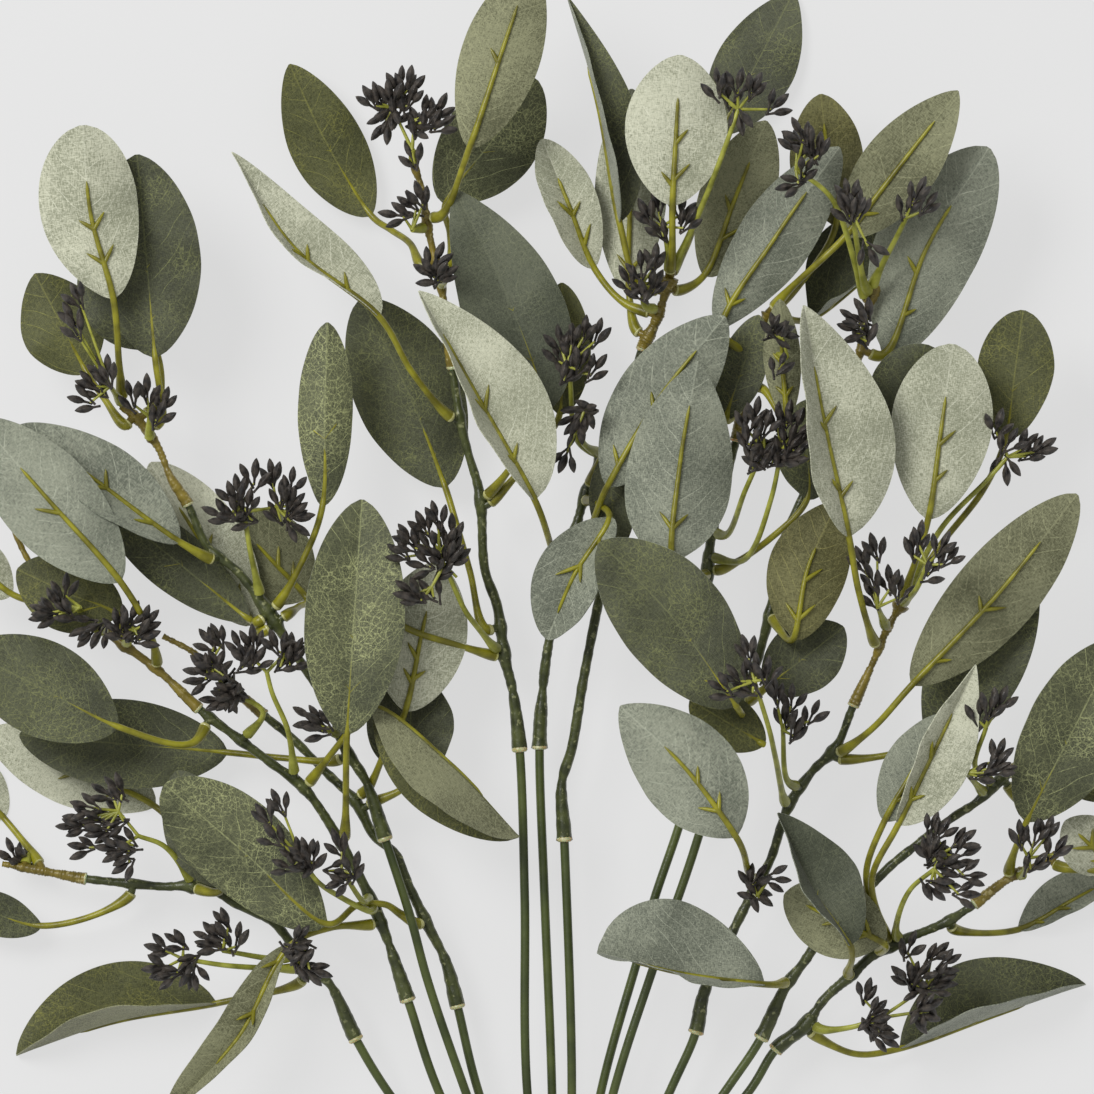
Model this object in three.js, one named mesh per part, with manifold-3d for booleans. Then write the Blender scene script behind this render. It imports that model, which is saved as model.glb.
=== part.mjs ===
// A bunch of artificial seeded eucalyptus, lying on a table: twelve stems, each a plastic-coated wire
// rod plugged into a moulded branch, with fabric leaves on moulded petioles and heads of seed buds.
// Millimetres. +Z is up from the table, +Y runs along the bunch from the cut ends to the leaf tips.
import * as THREE from "three";
import { mergeVertices } from "three/addons/utils/BufferGeometryUtils.js";
import Module from "manifold-3d";

const wasm = await Module();
wasm.setup();

// Driving dimensions, in millimetres.
const ROD_RADIUS = 1.8; // the coated wire
const SOCKET_RADIUS = 3.2; // the flared mouth of a branch, over the end of its rod
const SOCKET_DEPTH = 9; // of the bore that takes the rod
const BRANCH_RADIUS = 2.0; // just above the mouth
const TIP_RADIUS = 1.1; // at the far end of the branch
const CLEARANCE = 0.4; // between pieces that fit together
const KNUCKLE_RADIUS = 1.9; // the lump where the petioles of a joint meet
const PETIOLE_RADIUS = 1.1;
const BLADE_HALF_THICKNESS = 0.5;
const BLADE_RISE = 1.5; // how far the middle of a blade stands above its two ends
const BUD_RADIUS = 1.6;
const STALK_RADIUS = 0.9;
const TIE = { y: -345, length: 12, wall: 1.5, margin: 0.7 };

// Proportions.
const ROD_GRIP = 0.6; // of the bore's depth, filled by the rod
const MOUTH_LENGTH = 1.2; // of the flare, as a share of the bore's depth
const MOUTH_TAPER = 0.8; // of the mouth's radius, left at the end of the flare
const BLADE_ARCH = 0.14; // how far a blade's edges hang, as a share of its half width
const OUTLINE_POWER = 0.65; // the lower, the rounder a blade's two ends
const BUD_FULLEST = 0.72; // where a bud is thickest, as a share of the way to its tip
const NECK = 0.8; // of a stalk's radius, where a bud leaves it
const POINT_RADIUS = 0.3; // of a bud's end
const BLADE_END = [0.4, 0.3, 0]; // half width, half height and hang of a blade's tip

// Counts that keep the solids light.
const ROUND_SIDES = 6; // of a rod or branch
const BLADE_SIDES = 4; // of a leaf's section
const THIN_SIDES = 3; // of a stalk or bud
const BRANCH_STATIONS = 11;
const BLADE_STEPS = 5;
const MOST_BUDS = 3; // of a head's buds, as solids
const ARC_STEPS = 400;

// Each stem's centreline from its cut end to its tip as [x, y, z]: the first four points are the straight
// stretch through the tie. socket is the point where the branch begins and its rod ends.
const STEMS = [
  { name: "01", socket: 5, route: [
    [-1.5, -490, 4], [-1.5, -420, 4], [-1.5, -345, 4], [-1.5, -305, 4], [-65, -219, 14],
    [-77, -199, 15], [-89, -175, 16], [-98, -171, 17], [-104, -159, 18], [-111, -151, 19],
    [-127, -143, 20], [-137, -137, 19], [-155, -137, 18], [-166, -136, 17], [-186, -134, 16],
    [-203, -131, 15], [-220, -128, 14]] },
  { name: "02", socket: 5, route: [
    [-1.5, -485, 8.2], [-1.5, -420, 8.2], [-1.5, -345, 8.2], [-1.5, -305, 8.2], [-44, -219, 18],
    [-56, -183, 20], [-68, -149, 21], [-82, -121, 23], [-98, -97, 25], [-111, -87, 27],
    [-127, -75, 28], [-140, -65, 30], [-156, -50, 29], [-175, -36, 28], [-184, -29, 27],
    [-196, -21, 27], [-209, -5, 26], [-216, 10, 25], [-221, 19, 24]] },
  { name: "03", socket: 7, route: [
    [-1.5, -480, 12.4], [-1.5, -420, 12.4], [-1.5, -345, 12.4], [-1.5, -305, 12.4], [-33, -219, 22],
    [-48, -175, 24], [-55, -149, 26], [-65, -118, 27], [-73, -94, 29], [-81, -81, 31], [-87, -64, 32],
    [-95, -52, 34], [-103, -40, 36], [-112, -26, 37], [-124, -10, 38], [-136, 0, 38], [-144, 17, 39],
    [-151, 28, 40], [-156, 40, 40], [-164, 51, 41], [-170, 57, 42]] },
  { name: "04", socket: 5, route: [
    [2.9, -482, 4], [2.9, -420, 4], [2.9, -345, 4], [2.9, -305, 4], [-28, -219, 14], [-36, -186, 15],
    [-41, -167, 16], [-48, -153, 17], [-56, -136, 18], [-61, -124, 19], [-70, -116, 20],
    [-77, -103, 20], [-90, -90, 19], [-103, -77, 18], [-114, -68, 18], [-129, -55, 17],
    [-142, -43, 17], [-155, -36, 16]] },
  { name: "05", socket: 6, route: [
    [2.9, -483, 12.4], [2.9, -420, 12.4], [2.9, -345, 12.4], [2.9, -305, 12.4], [-8, -219, 20],
    [-9, -141, 21], [-11, -82, 22], [-14, -57, 24], [-17, -45, 25], [-20, -24, 26], [-25, -9, 27],
    [-27, 21, 28], [-32, 39, 29], [-35, 52, 31], [-38, 72, 32], [-39, 79, 34], [-41, 87, 35],
    [-42, 102, 36], [-46, 120, 38], [-48, 129, 39], [-50, 143, 41], [-53, 152, 42]] },
  { name: "06", socket: 6, route: [
    [2.9, -488, 8.2], [2.9, -420, 8.2], [2.9, -345, 8.2], [2.9, -305, 8.2], [2, -219, 16],
    [-1, -141, 18], [-3, -81, 19], [-2, -61, 20], [0, -43, 22], [6, -13, 23], [12, 9, 24],
    [16, 23, 25], [22, 37, 26]] },
  { name: "07", socket: 5, route: [
    [7.3, -486, 12.4], [7.3, -420, 12.4], [7.3, -345, 12.4], [7.3, -305, 12.4], [10, -219, 22],
    [7, -118, 24], [6, -95, 25], [10, -81, 27], [14, -57, 29], [17, -41, 30], [24, -5, 32],
    [30, 31, 34], [34, 59, 36], [38, 79, 38], [43, 89, 40], [46, 97, 42], [49, 108, 44]] },
  { name: "08", socket: 7, route: [
    [7.3, -485, 4], [7.3, -420, 4], [7.3, -345, 4], [7.3, -305, 4], [22, -219, 16], [37, -165, 17],
    [43, -143, 19], [54, -110, 20], [58, -93, 21], [62, -53, 23], [64, -21, 24], [66, 3, 26],
    [71, 23, 28], [76, 43, 30], [80, 64, 32], [85, 80, 34], [89, 94, 36]] },
  { name: "09", socket: 7, route: [
    [7.3, -480, 8.2], [7.3, -420, 8.2], [7.3, -345, 8.2], [7.3, -305, 8.2], [27, -219, 22],
    [41, -175, 24], [57, -129, 26], [64, -107, 28], [77, -69, 29], [87, -37, 31], [92, -15, 33],
    [96, 5, 35], [103, 21, 36], [110, 39, 37], [118, 59, 38], [126, 79, 40], [128, 93, 41],
    [132, 105, 42]] },
  { name: "10", socket: 5, route: [
    [11.7, -488, 4], [11.7, -420, 4], [11.7, -345, 4], [11.7, -305, 4], [50, -219, 16], [60, -196, 18],
    [63, -181, 19], [70, -165, 21], [84, -137, 23], [90, -126, 24], [97, -105, 26], [107, -90, 28],
    [116, -81, 31], [123, -64, 33], [132, -44, 35], [136, -34, 38], [142, -23, 40]] },
  { name: "11", socket: 5, route: [
    [11.7, -489, 12.4], [11.7, -420, 12.4], [11.7, -345, 12.4], [11.7, -305, 12.4], [72, -219, 24],
    [86, -198, 26], [96, -177, 28], [104, -166, 31], [115, -149, 33], [131, -135, 35], [138, -128, 36],
    [148, -120, 35], [164, -108, 34], [172, -103, 33], [185, -91, 33], [197, -83, 32]] },
  { name: "12", socket: 5, route: [
    [11.7, -483, 8.2], [11.7, -420, 8.2], [11.7, -345, 8.2], [11.7, -305, 8.2], [82, -219, 18],
    [92, -203, 19], [104, -193, 21], [112, -182, 22], [122, -173, 24], [133, -163, 25],
    [144, -158, 25], [161, -151, 24], [172, -144, 23], [187, -133, 22], [202, -126, 21],
    [212, -119, 20]] },
];

// The joints that carry leaves and heads: the stem, the place on it, and whether the knuckle is under it.
const SPRIGS = {
  "01a": { stem: "01", at: [-98, -171] },
  "01b": { stem: "01", at: [-143, -137] },
  "01c": { stem: "01", at: [-195, -132], under: true },
  "02a": { stem: "02", at: [-68, -149] },
  "02b": { stem: "02", at: [-90, -108] },
  "02c": { stem: "02", at: [-125, -76] },
  "02d": { stem: "02", at: [-170, -40] },
  "03a": { stem: "03", at: [-81, -81] },
  "03b": { stem: "03", at: [-109, -30] },
  "03c": { stem: "03", at: [-164, 51] },
  "04a": { stem: "04", at: [-48, -153] },
  "04b": { stem: "04", at: [-76, -104] },
  "05a": { stem: "05", at: [-19, -37] },
  "05b": { stem: "05", at: [-30, 33] },
  "05c": { stem: "05", at: [-44, 113] },
  "05d": { stem: "05", at: [-53, 153] },
  "06a": { stem: "06", at: [6, -13] },
  "06b": { stem: "06", at: [16, 23] },
  "07a": { stem: "07", at: [40, 84] },
  "07b": { stem: "07", at: [49, 107] },
  "08a": { stem: "08", at: [66, -1] },
  "08b": { stem: "08", at: [83, 72] },
  "08c": { stem: "08", at: [89, 94] },
  "09a": { stem: "09", at: [78, -67] },
  "09b": { stem: "09", at: [95, -1] },
  "09c": { stem: "09", at: [126, 79] },
  "10a": { stem: "10", at: [84, -137] },
  "10b": { stem: "10", at: [107, -91] },
  "10c": { stem: "10", at: [139, -27] },
  "11a": { stem: "11", at: [104, -167] },
  "11b": { stem: "11", at: [168, -105] },
  "12a": { stem: "12", at: [104, -193] },
  "12b": { stem: "12", at: [133, -163] },
  "12c": { stem: "12", at: [164, -149] },
  "12d": { stem: "12", at: [197, -128] },
};

// Leaves: name, sprig, base of the blade, its tip, its width, the height of its middle, how far it bows to
// the left, and the petiole's way from the knuckle. A point on the way may give its own height.
const LEAVES = [
  ["1", "03c", [-173, 99], [-185, 168], 40, 62, 3, [[-171, 73]]],
  ["2", "03c", [-157, 76], [-164, 157], 44, 46, 0, [[-155, 51]]],
  ["2b", "03c", [-157, 79], [-187, 112], 25, 39, 0, [[-156, 58]]],
  ["3", "03c", [-185, 70], [-206, 110], 34, 32, 0, [[-169, 49, 43], [-178, 60, 37]]],
  ["4", "05c", [-71, 134], [-104, 195], 30, 12, 2, [[-50, 113, 39], [-55, 122, 30], [-63, 128, 18]]],
  ["5", "05b", [-67, 92], [-126, 158], 21, 50, 0, [[-38, 52], [-54, 70]]],
  ["6", "05a", [-41, 24], [-75, 100], 44, 21, -2, [[-25, -33, 28], [-31, -10, 25], [-37, 11, 22]]],
  ["7", "05c", [-31, 159], [-6, 233], 32, 62, 0, [[-42, 133]]],
  ["8", "05c", [-41, 138], [-4, 188], 38, 26, 0, [[-39, 114, 38], [-39, 126, 30]]],
  ["9", "05b", [-2, 54], [-37, 143], 40, 50, -4, [[-25, 20], [-11, 37]]],
  ["10", "05b", [5, 53], [6, 106], 24, 36, 0, [[-24, 17], [-1, 43]]],
  ["11", "06a", [-5, 19], [-51, 102], 38, 72, 0, [[4, -5]]],
  ["12", "07a", [19, 112], [-2, 164], 20, 36, 0, [[31, 98]]],
  ["13", "07a", [29, 130], [8, 221], 20, 50, -2, [[37, 105]]],
  ["14", "07a", [33, 102], [34, 184], 29, 34, 0, [[36, 87]]],
  ["15", "07b", [50, 136], [53, 196], 41, 64, 0, [[50, 119]]],
  ["16", "07b", [70, 167], [100, 225], 32, 3.4, 0, [[57, 123], [64, 147]]],
  ["17", "07b", [63, 109], [88, 171], 30, 36, 0, [[53, 103]]],
  ["18", "08c", [116, 129], [110, 182], 30, 30, 0, [[101, 105]]],
  ["19", "08c", [119, 124], [164, 182], 30, 56, 0, [[97, 103], [111, 116]]],
  ["20", "08b", [70, 87], [117, 160], 30, 46, 2, [[78, 79]]],
  ["20b", "08b", [72, 51], [85, 93], 19, 42, 0, [[78, 57]]],
  ["21", "06b", [24, 24], [71, 92], 35, 56, 3, [[20, 17]]],
  ["22", "08a", [50, -7], [60, 74], 44, 68, 2, [[61, -11]]],
  ["23", "09a", [75, -63], [21, 2], 42, 78, -3, []],
  ["23b", "09a", [87, -79], [57, -61], 22, 58, 0, [[85, -78]]],
  ["24", "06b", [25, 12], [0, -37], 25, 54, -2, [[21, 17]]],
  ["25", "10a", [75, -115], [29, -63], 40, 88, -3, [[81, -131]]],
  ["26", "11a", [87, -175], [20, -162], 40, 50, 4, [[97, -175]]],
  ["27", "09a", [87, -57], [119, -32], 28, 42, 0, [[81, -62]]],
  ["28", "09b", [98, -37], [116, 18], 32, 54, 3, [[90, -28]]],
  ["29", "10c", [120, 4], [102, 96], 39, 76, -6, [[132, -39], [124, -17]]],
  ["30", "10c", [152, 11], [162, 81], 40, 62, 0, [[144, -16]]],
  ["31", "09c", [142, 35], [151, 81], 29, 50, 0, [[128, 59]]],
  ["32", "09c", [135, 77], [177, 160], 42, 40, 4, []],
  ["33", "10c", [184, 43], [191, 95], 30, 40, 0, [[158, 1], [175, 23]]],
  ["34", "08c", [101, 99], [149, 136], 29, 18, 0, []],
  ["35", "08b", [95, 51], [93, 99], 15, 52, 0, [[87, 63]]],
  ["36", "08a", [104, 19], [104, 59], 25, 50, 0, [[70, -9], [89, 3]]],
  ["37", "10b", [146, -55], [212, 21], 34, 54, -2, [[116, -83], [130, -73]]],
  ["38", "10b", [152, -78], [196, -13], 36, 38, 0, [[117, -85]]],
  ["39a", "12b", [140, -111], [171, -47], 23, 60, 0, [[136, -155], [130, -132]]],
  ["39b", "12b", [135, -110], [159, -67], 25, 48, 0, [[131, -147, 37], [128, -130, 43]]],
  ["40", "12d", [192, -110], [229, -37], 40, 48, 0, [[186, -131]]],
  ["41", "12b", [121, -159], [92, -106], 26, 60, 2, [[121, -171]]],
  ["42", "12b", [135, -159], [95, -139], 31, 46, 0, []],
  ["43", "12a", [143, -203], [218, -177], 25, 8, 0, [[108, -197], [125, -205]]],
  ["44", "12c", [191, -155], [237, -130], 22, 3.4, 0, [[164, -154]]],
  ["45", "12d", [229, -130], [208, -110], 24, 34, 0, [[205, -128], [219, -130]]],
  ["46", "11b", [211, -98], [237, -85], 24, 22, 0, [[193, -104]]],
  ["47", "02b", [-80, -75], [-74, 19], 40, 54, 0, [[-82, -119]]],
  ["48", "03b", [-118, -31], [-160, 34], 34, 22, 0, [[-114, -34, 38]]],
  ["49", "03b", [-147, 2], [-211, 49], 24, 48, 0, [[-133, -5]]],
  ["50", "03b", [-97, -21], [-128, 13], 37, 13, 0, [[-104, -27, 37], [-100, -24, 24]]],
  ["51", "03b", [-120, -29], [-180, 19], 25, 30, 0, [[-116, -30, 39]]],
  ["52", "02d", [-170, -14], [-227, 51], 38, 62, 0, [[-157, -48], [-159, -34]]],
  ["53", "03b", [-90, 16], [-88, 90], 23, 48, 0, [[-109, -24], [-99, -8]]],
  ["54", "02d", [-172, -28], [-213, -9], 30, 36, 0, []],
  ["55", "02d", [-215, -19], [-242, 3], 22, 32, 0, [[-187, -26], [-203, -23]]],
  ["56", "02c", [-172, -72], [-233, -41], 38, 44, 0, [[-143, -79]]],
  ["57", "03a", [-129, -83], [-213, -76], 36, 16, 0, [[-85, -86], [-108, -85]]],
  ["58", "01b", [-159, -105], [-227, -75], 30, 3.6, 0, [[-145, -121]]],
  ["59", "01b", [-131, -138], [-149, -90], 28, 32, 0, []],
  ["60", "04a", [-88, -151], [-153, -95], 38, 46, 0, [
    [-52, -152, 21], [-59, -148, 21.5], [-65, -144, 26], [-76, -144, 32]]],
  ["61", "02a", [-103, -160], [-153, -228], 17, 38, 3, [[-70, -152], [-87, -153]]],
  ["62", "01a", [-134, -185], [-215, -206], 22, 3.4, -3, [[-100, -176]]],
  ["63", "01b", [-204, -153], [-243, -143], 18, 16, 0, [[-168, -140], [-181, -148]]],
  ["64", "01c", [-220, -110], [-244, -85], 24, 2.9, 0, [[-204, -130]]],
  ["65", "02b", [-71, -64], [-11, -116], 22, 46, 4, [[-97, -97], [-81, -76]]],
  ["66", "04b", [-57, -66], [-44, -6], 37, 38, 0, [[-72, -97, 24.5], [-65, -82, 32]]],
  ["67", "04b", [-56, -95], [-54, -49], 34, 26, 0, [[-70, -103, 22]]],
  ["68", "06b", [24, 38], [28, -2], 18, 44, 0, []],
  ["69", "05a", [-59, -31], [-85, -5], 28, 42, 0, [[-19, -44], [-34, -40]]],
];

// Seed heads: name, sprig, height, the stalk's way from the knuckle to the fork, and the tips of the buds.
const HEADS = [
  ["A", "03c", 66, [[-174, 64]], [
    [-192, 60], [-187, 71], [-181, 77], [-179, 74], [-190, 106], [-193, 98], [-192, 93], [-186, 67]]],
  ["B", "03c", 52, [[-159, 43], [-159, 52]], [
    [-168, 67], [-160, 70], [-151, 65], [-152, 60]]],
  ["C", "05d", 48, [[-54, 159]], [
    [-74, 185], [-64, 188], [-58, 193], [-54, 193], [-52, 186], [-48, 182], [-40, 182], [-36, 173],
    [-71, 162], [-67, 164], [-62, 166], [-55, 181], [-70, 187]]],
  ["D", "05c", 48, [[-54, 127]], [
    [-68, 134], [-61, 141], [-53, 147]]],
  ["E", "05c", 64, [[-40, 106]], [
    [-41, 122], [-54, 113], [-44, 116], [-35, 112]]],
  ["G", "07b", 72, [[63, 139], [74, 168], [76, 174]], [
    [67, 191], [72, 187], [78, 192], [86, 190], [97, 181], [78, 163]]],
  ["G2", "07b", 57, [[48, 120], [46, 128]], [
    [36, 140], [42, 144], [55, 143], [60, 136], [40, 132]]],
  ["G3", "07a", 57, [[39, 97], [38, 105]], [
    [28, 114], [32, 108], [37, 119], [44, 122], [47, 112], [33, 100]]],
  ["H1", "08a", 82, [[72, 5], [79, 23], [86, 39]], [
    [78, 51], [80, 43], [79, 57], [84, 60], [89, 55], [82, 34]]],
  ["H2", "08a", 80, [[79, -5], [89, 19], [93, 39]], [
    [92, 58], [97, 60], [102, 56], [104, 47], [101, 37], [97, 31], [104, 41]]],
  ["I", "08b", 60, [[96, 76]], [
    [98, 91], [101, 84], [89, 94], [96, 79]]],
  ["J", "09c", 60, [[124, 84]], [
    [116, 95], [122, 100], [115, 89], [127, 92]]],
  ["K", "09c", 72, [[128, 99], [113, 139], [99, 150]], [
    [93, 166], [97, 171], [100, 168], [104, 165], [109, 166], [106, 155], [90, 142]]],
  ["L", "09c", 76, [[128, 103], [121, 133]], [
    [118, 148], [120, 142], [115, 140], [124, 144], [132, 110]]],
  ["M", "09c", 66, [[130, 103], [143, 131]], [
    [151, 148], [156, 142], [147, 143]]],
  ["N", "10c", 56, [[158, 8], [175, 26], [184, 36]], [
    [182, 56], [188, 48], [200, 42], [197, 46], [204, 44], [184, 24]]],
  ["P", "10c", 78, [[147, -17], [151, -7]], [
    [145, 7], [149, 11], [160, 7], [164, 1], [159, -4]]],
  ["Q", "10c", 58, [[136, -32], [132, -24]], [
    [127, -6], [126, -12], [136, -6], [142, -10], [123, 1], [129, 6]]],
  ["T1", "11b", 62, [[171, -87], [175, -72]], [
    [184, -54], [179, -57], [173, -59]]],
  ["T2", "11b", 62, [[167, -90]], [
    [183, -75], [185, -80], [186, -85], [181, -88]]],
  ["U", "12b", 72, [[140, -154], [145, -136], [154, -128]], [
    [156, -104], [161, -106], [171, -112], [173, -119], [168, -126], [176, -130], [174, -138],
    [149, -114]]],
  ["V", "12d", 62, [[191, -132], [192, -124]], [
    [188, -108], [196, -107], [202, -106], [208, -114], [200, -121]]],
  ["X", "12a", 36, [[110, -194], [122, -193], [134, -189]], [
    [148, -153], [162, -158], [167, -163], [166, -171], [130, -172], [138, -168], [151, -195],
    [130, -199], [142, -201]]],
  ["Y", "10a", 60, [[84, -139]], [
    [80, -126], [78, -132], [88, -126], [99, -133], [91, -144]]],
  ["Z1", "10b", 90, [[96, -103], [91, -84], [88, -72], [82, -53]], [
    [77, -34], [82, -40], [88, -42], [70, -45], [62, -52], [72, -53]]],
  ["Z2", "10b", 62, [[96, -93], [94, -73]], [
    [90, -50], [98, -53], [109, -60], [103, -66], [95, -61]]],
  ["AA", "03b", 54, [[-114, -22], [-119, 0], [-121, 14]], [
    [-125, 31], [-128, 28], [-116, 36], [-111, 36], [-101, 33], [-100, 26], [-97, 22], [-92, 13],
    [-94, 4], [-138, 16], [-133, 18]]],
  ["BB1", "02b", 54, [[-102, -94], [-104, -73], [-110, -58], [-112, -50]], [
    [-126, -33], [-118, -30], [-111, -32], [-102, -33], [-96, -39], [-124, -37], [-112, -39]]],
  ["BB2", "02c", 46, [[-114, -66], [-129, -57]], [
    [-140, -32], [-135, -30], [-142, -42], [-147, -49], [-147, -54], [-140, -61], [-133, -66],
    [-124, -67], [-129, -41]]],
  ["CC", "03a", 46, [[-84, -75], [-90, -72]], [
    [-102, -64], [-100, -71], [-98, -66]]],
  ["DD1", "02d", 48, [[-187, -24]], [
    [-192, -9], [-198, -21], [-208, -23], [-208, -29], [-201, -15]]],
  ["DD2", "02d", 52, [[-165, -33]], [
    [-173, -23], [-176, -30], [-170, -37], [-163, -21], [-159, -29], [-154, -24], [-153, -33]]],
  ["DD3", "02d", 46, [[-179, -35]], [
    [-192, -36], [-189, -41], [-183, -40]]],
  ["EE", "01c", 11, [[-210, -124]], [
    [-219, -116], [-215, -121], [-218, -126]]],
  ["FF", "01b", 38, [[-142, -136], [-154, -120], [-164, -116]], [
    [-178, -92], [-183, -95], [-192, -102], [-196, -108], [-198, -112], [-194, -119], [-182, -120],
    [-178, -123], [-176, -132]]],
  ["GG1", "01a", 44, [[-100, -170], [-128, -168], [-146, -165]], [
    [-154, -154], [-163, -159], [-164, -169], [-158, -173], [-148, -170], [-148, -177], [-140, -179]]],
  ["GG2", "01a", 40, [[-107, -166], [-130, -162]], [
    [-135, -145], [-138, -151], [-143, -154], [-142, -158], [-123, -150]]],
  ["HH", "01a", 50, [[-97, -161]], [
    [-103, -168], [-94, -150], [-85, -172], [-90, -173], [-107, -162]]],
  ["II1", "02a", 64, [[-72, -146, 38], [-83, -140], [-92, -133], [-98, -124]], [
    [-117, -101], [-110, -96], [-113, -110], [-111, -124], [-91, -116]]],
  ["II2", "02a", 58, [[-74, -142, 42], [-82, -129]], [
    [-86, -112], [-78, -130], [-89, -136], [-75, -121]]],
  ["JJ", "05a", 62, [[-20, -41], [-28, -32], [-33, -25], [-41, -7]], [
    [-46, 19], [-53, 16], [-60, 10], [-60, 7], [-65, 2], [-38, 14], [-34, 7], [-32, 2], [-57, -6],
    [-61, -13], [-60, -18]]],
  ["KK1", "06b", 60, [[12, 43], [9, 70]], [
    [16, 94], [22, 92], [4, 90], [10, 91], [2, 84], [24, 77]]],
  ["KK2", "06b", 60, [[14, 43], [16, 57]], [
    [21, 54], [15, 44], [8, 55], [3, 48], [8, 39], [4, 28]]],
];

const UP = new THREE.Vector3(0, 0, 1);
const inPlan = (v) => new THREE.Vector3(v.x, v.y, 0);
const mix = (a, b, share) => a + (b - a) * share;

// A closed solid along a curve. It starts as a capped cylinder, whose height becomes the way along the
// curve and whose round becomes the section: place(k) gives the share of the curve's length at station k,
// and section(k) the section's half width, half height and how far its two edges hang.
function sweep(curve, sides, stations, place, section) {
  const shape = new THREE.CylinderGeometry(1, 1, 1, sides, stations);
  const position = shape.getAttribute("position");
  for (let i = 0; i < position.count; i++) {
    const k = Math.round((0.5 - position.getY(i)) * stations);
    const share = Math.min(1, Math.max(0, place(k)));
    const tangent = curve.getTangentAt(share);
    const side = new THREE.Vector3().crossVectors(tangent, UP).normalize();
    const over = new THREE.Vector3().crossVectors(side, tangent);
    const [halfWidth, halfHeight, hang] = section(k);
    const across = position.getX(i);
    const point = curve.getPointAt(share)
      .addScaledVector(side, -across * halfWidth)
      .addScaledVector(over, position.getZ(i) * halfHeight - Math.abs(across) * hang);
    position.setXYZ(i, point.x, point.y, point.z);
  }
  return solid(shape);
}

// The manifold-3d solid of a closed geometry, turned face out.
function solid(geometry) {
  const bare = new THREE.BufferGeometry().setAttribute("position", geometry.getAttribute("position"));
  if (geometry.getIndex()) bare.setIndex(geometry.getIndex());
  const merged = mergeVertices(bare);
  const corners = new Uint32Array(merged.getIndex().array);
  const mesh = (triVerts) =>
    new wasm.Mesh({ numProp: 3, vertProperties: merged.getAttribute("position").array, triVerts });
  const made = new wasm.Manifold(mesh(corners));
  if (made.volume() > 0) return made;
  for (let i = 0; i < corners.length; i += 3)
    [corners[i + 1], corners[i + 2]] = [corners[i + 2], corners[i + 1]];
  return new wasm.Manifold(mesh(corners));
}

function geometryOf(made) {
  const mesh = made.getMesh();
  const geometry = new THREE.BufferGeometry();
  geometry.setAttribute("position", new THREE.BufferAttribute(new Float32Array(mesh.vertProperties), 3));
  geometry.setIndex(new THREE.BufferAttribute(new Uint32Array(mesh.triVerts), 1));
  geometry.computeVertexNormals();
  return geometry;
}

const colours = {
  rod: new THREE.MeshStandardMaterial({ color: 0x3f4b2c, roughness: 0.45, metalness: 0 }),
  branch: new THREE.MeshStandardMaterial({ color: 0x4c5a33, roughness: 0.5, metalness: 0 }),
  leaf: new THREE.MeshStandardMaterial({ color: 0x6d7a68, roughness: 0.8, metalness: 0 }),
  twine: new THREE.MeshStandardMaterial({ color: 0xa08a5c, roughness: 0.9, metalness: 0 }),
};

const bunch = new THREE.Group();

function add(name, made, material) {
  const mesh = new THREE.Mesh(geometryOf(made), material);
  mesh.name = name;
  bunch.add(mesh);
}

const along = (points) =>
  new THREE.CatmullRomCurve3(points.map((p) => new THREE.Vector3(...p)), false, "centripetal");

// The share of a curve's length at the place nearest to a point, seen from above.
function shareNear(curve, [x, y]) {
  const target = new THREE.Vector3(x, y, 0);
  const steps = 600;
  let best = 0;
  let nearest = Infinity;
  for (let i = 0; i <= steps; i++) {
    const away = inPlan(curve.getPointAt(i / steps)).distanceTo(target);
    if (away < nearest) {
      nearest = away;
      best = i / steps;
    }
  }
  return best;
}

// A rod: the coated wire from its cut end up into the mouth of its branch, with a bend at each point of
// its route.
function rodSolid(curve, bends, end) {
  const shares = [0, ...bends, end];
  return sweep(curve, ROUND_SIDES, shares.length - 1, (k) => shares[k], () => [ROD_RADIUS, ROD_RADIUS, 0]);
}

// A branch: a tapering moulding whose flared mouth is bored to take the end of the rod.
function branchSolid(curve, start, length) {
  const bored = SOCKET_DEPTH / length;
  const flared = start + bored * MOUTH_LENGTH;
  const gone = (k) => (k - 1) / (BRANCH_STATIONS - 1);
  const place = (k) => (k === 0 ? start : mix(flared, 1, gone(k)));
  const outside = sweep(curve, ROUND_SIDES, BRANCH_STATIONS, place, (k) => {
    const mouth = [SOCKET_RADIUS, SOCKET_RADIUS * MOUTH_TAPER];
    const radius = k < mouth.length ? mouth[k] : mix(BRANCH_RADIUS, TIP_RADIUS, gone(k));
    return [radius, radius, 0];
  });
  const bore = ROD_RADIUS + CLEARANCE;
  const ends = [-0.2, 0.13, 0.47, 0.8]; // along the bore's depth, from outside the mouth
  const depth = (k) => start + ends[k] * bored;
  const hole = sweep(curve, ROUND_SIDES, ends.length - 1, depth, () => [bore, bore, 0]);
  return outside.subtract(hole);
}

const curves = {};

for (const { name, socket, route } of STEMS) {
  const curve = along(route);
  curve.arcLengthDivisions = ARC_STEPS;
  const length = curve.getLength();
  const start = shareNear(curve, route[socket]);
  const end = start + (SOCKET_DEPTH * ROD_GRIP) / length;
  curves[name] = { curve, start };
  const bends = route.slice(1, socket + 1).map((point) => shareNear(curve, point));
  add(`rod_${name}`, rodSolid(curve, bends, end), colours.rod);
  add(`branch_${name}`, branchSolid(curve, start, length), colours.branch);
}

// The place of a joint's knuckle: just above the branch or just under it, clear of it.
function knuckle({ stem, at, under }) {
  const { curve, start } = curves[stem];
  const share = shareNear(curve, at);
  const thick = mix(BRANCH_RADIUS, TIP_RADIUS, (share - start) / (1 - start));
  const away = (thick + CLEARANCE + KNUCKLE_RADIUS) * (under ? -1 : 1);
  return curve.getPointAt(share).add(new THREE.Vector3(0, 0, away));
}

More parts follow.
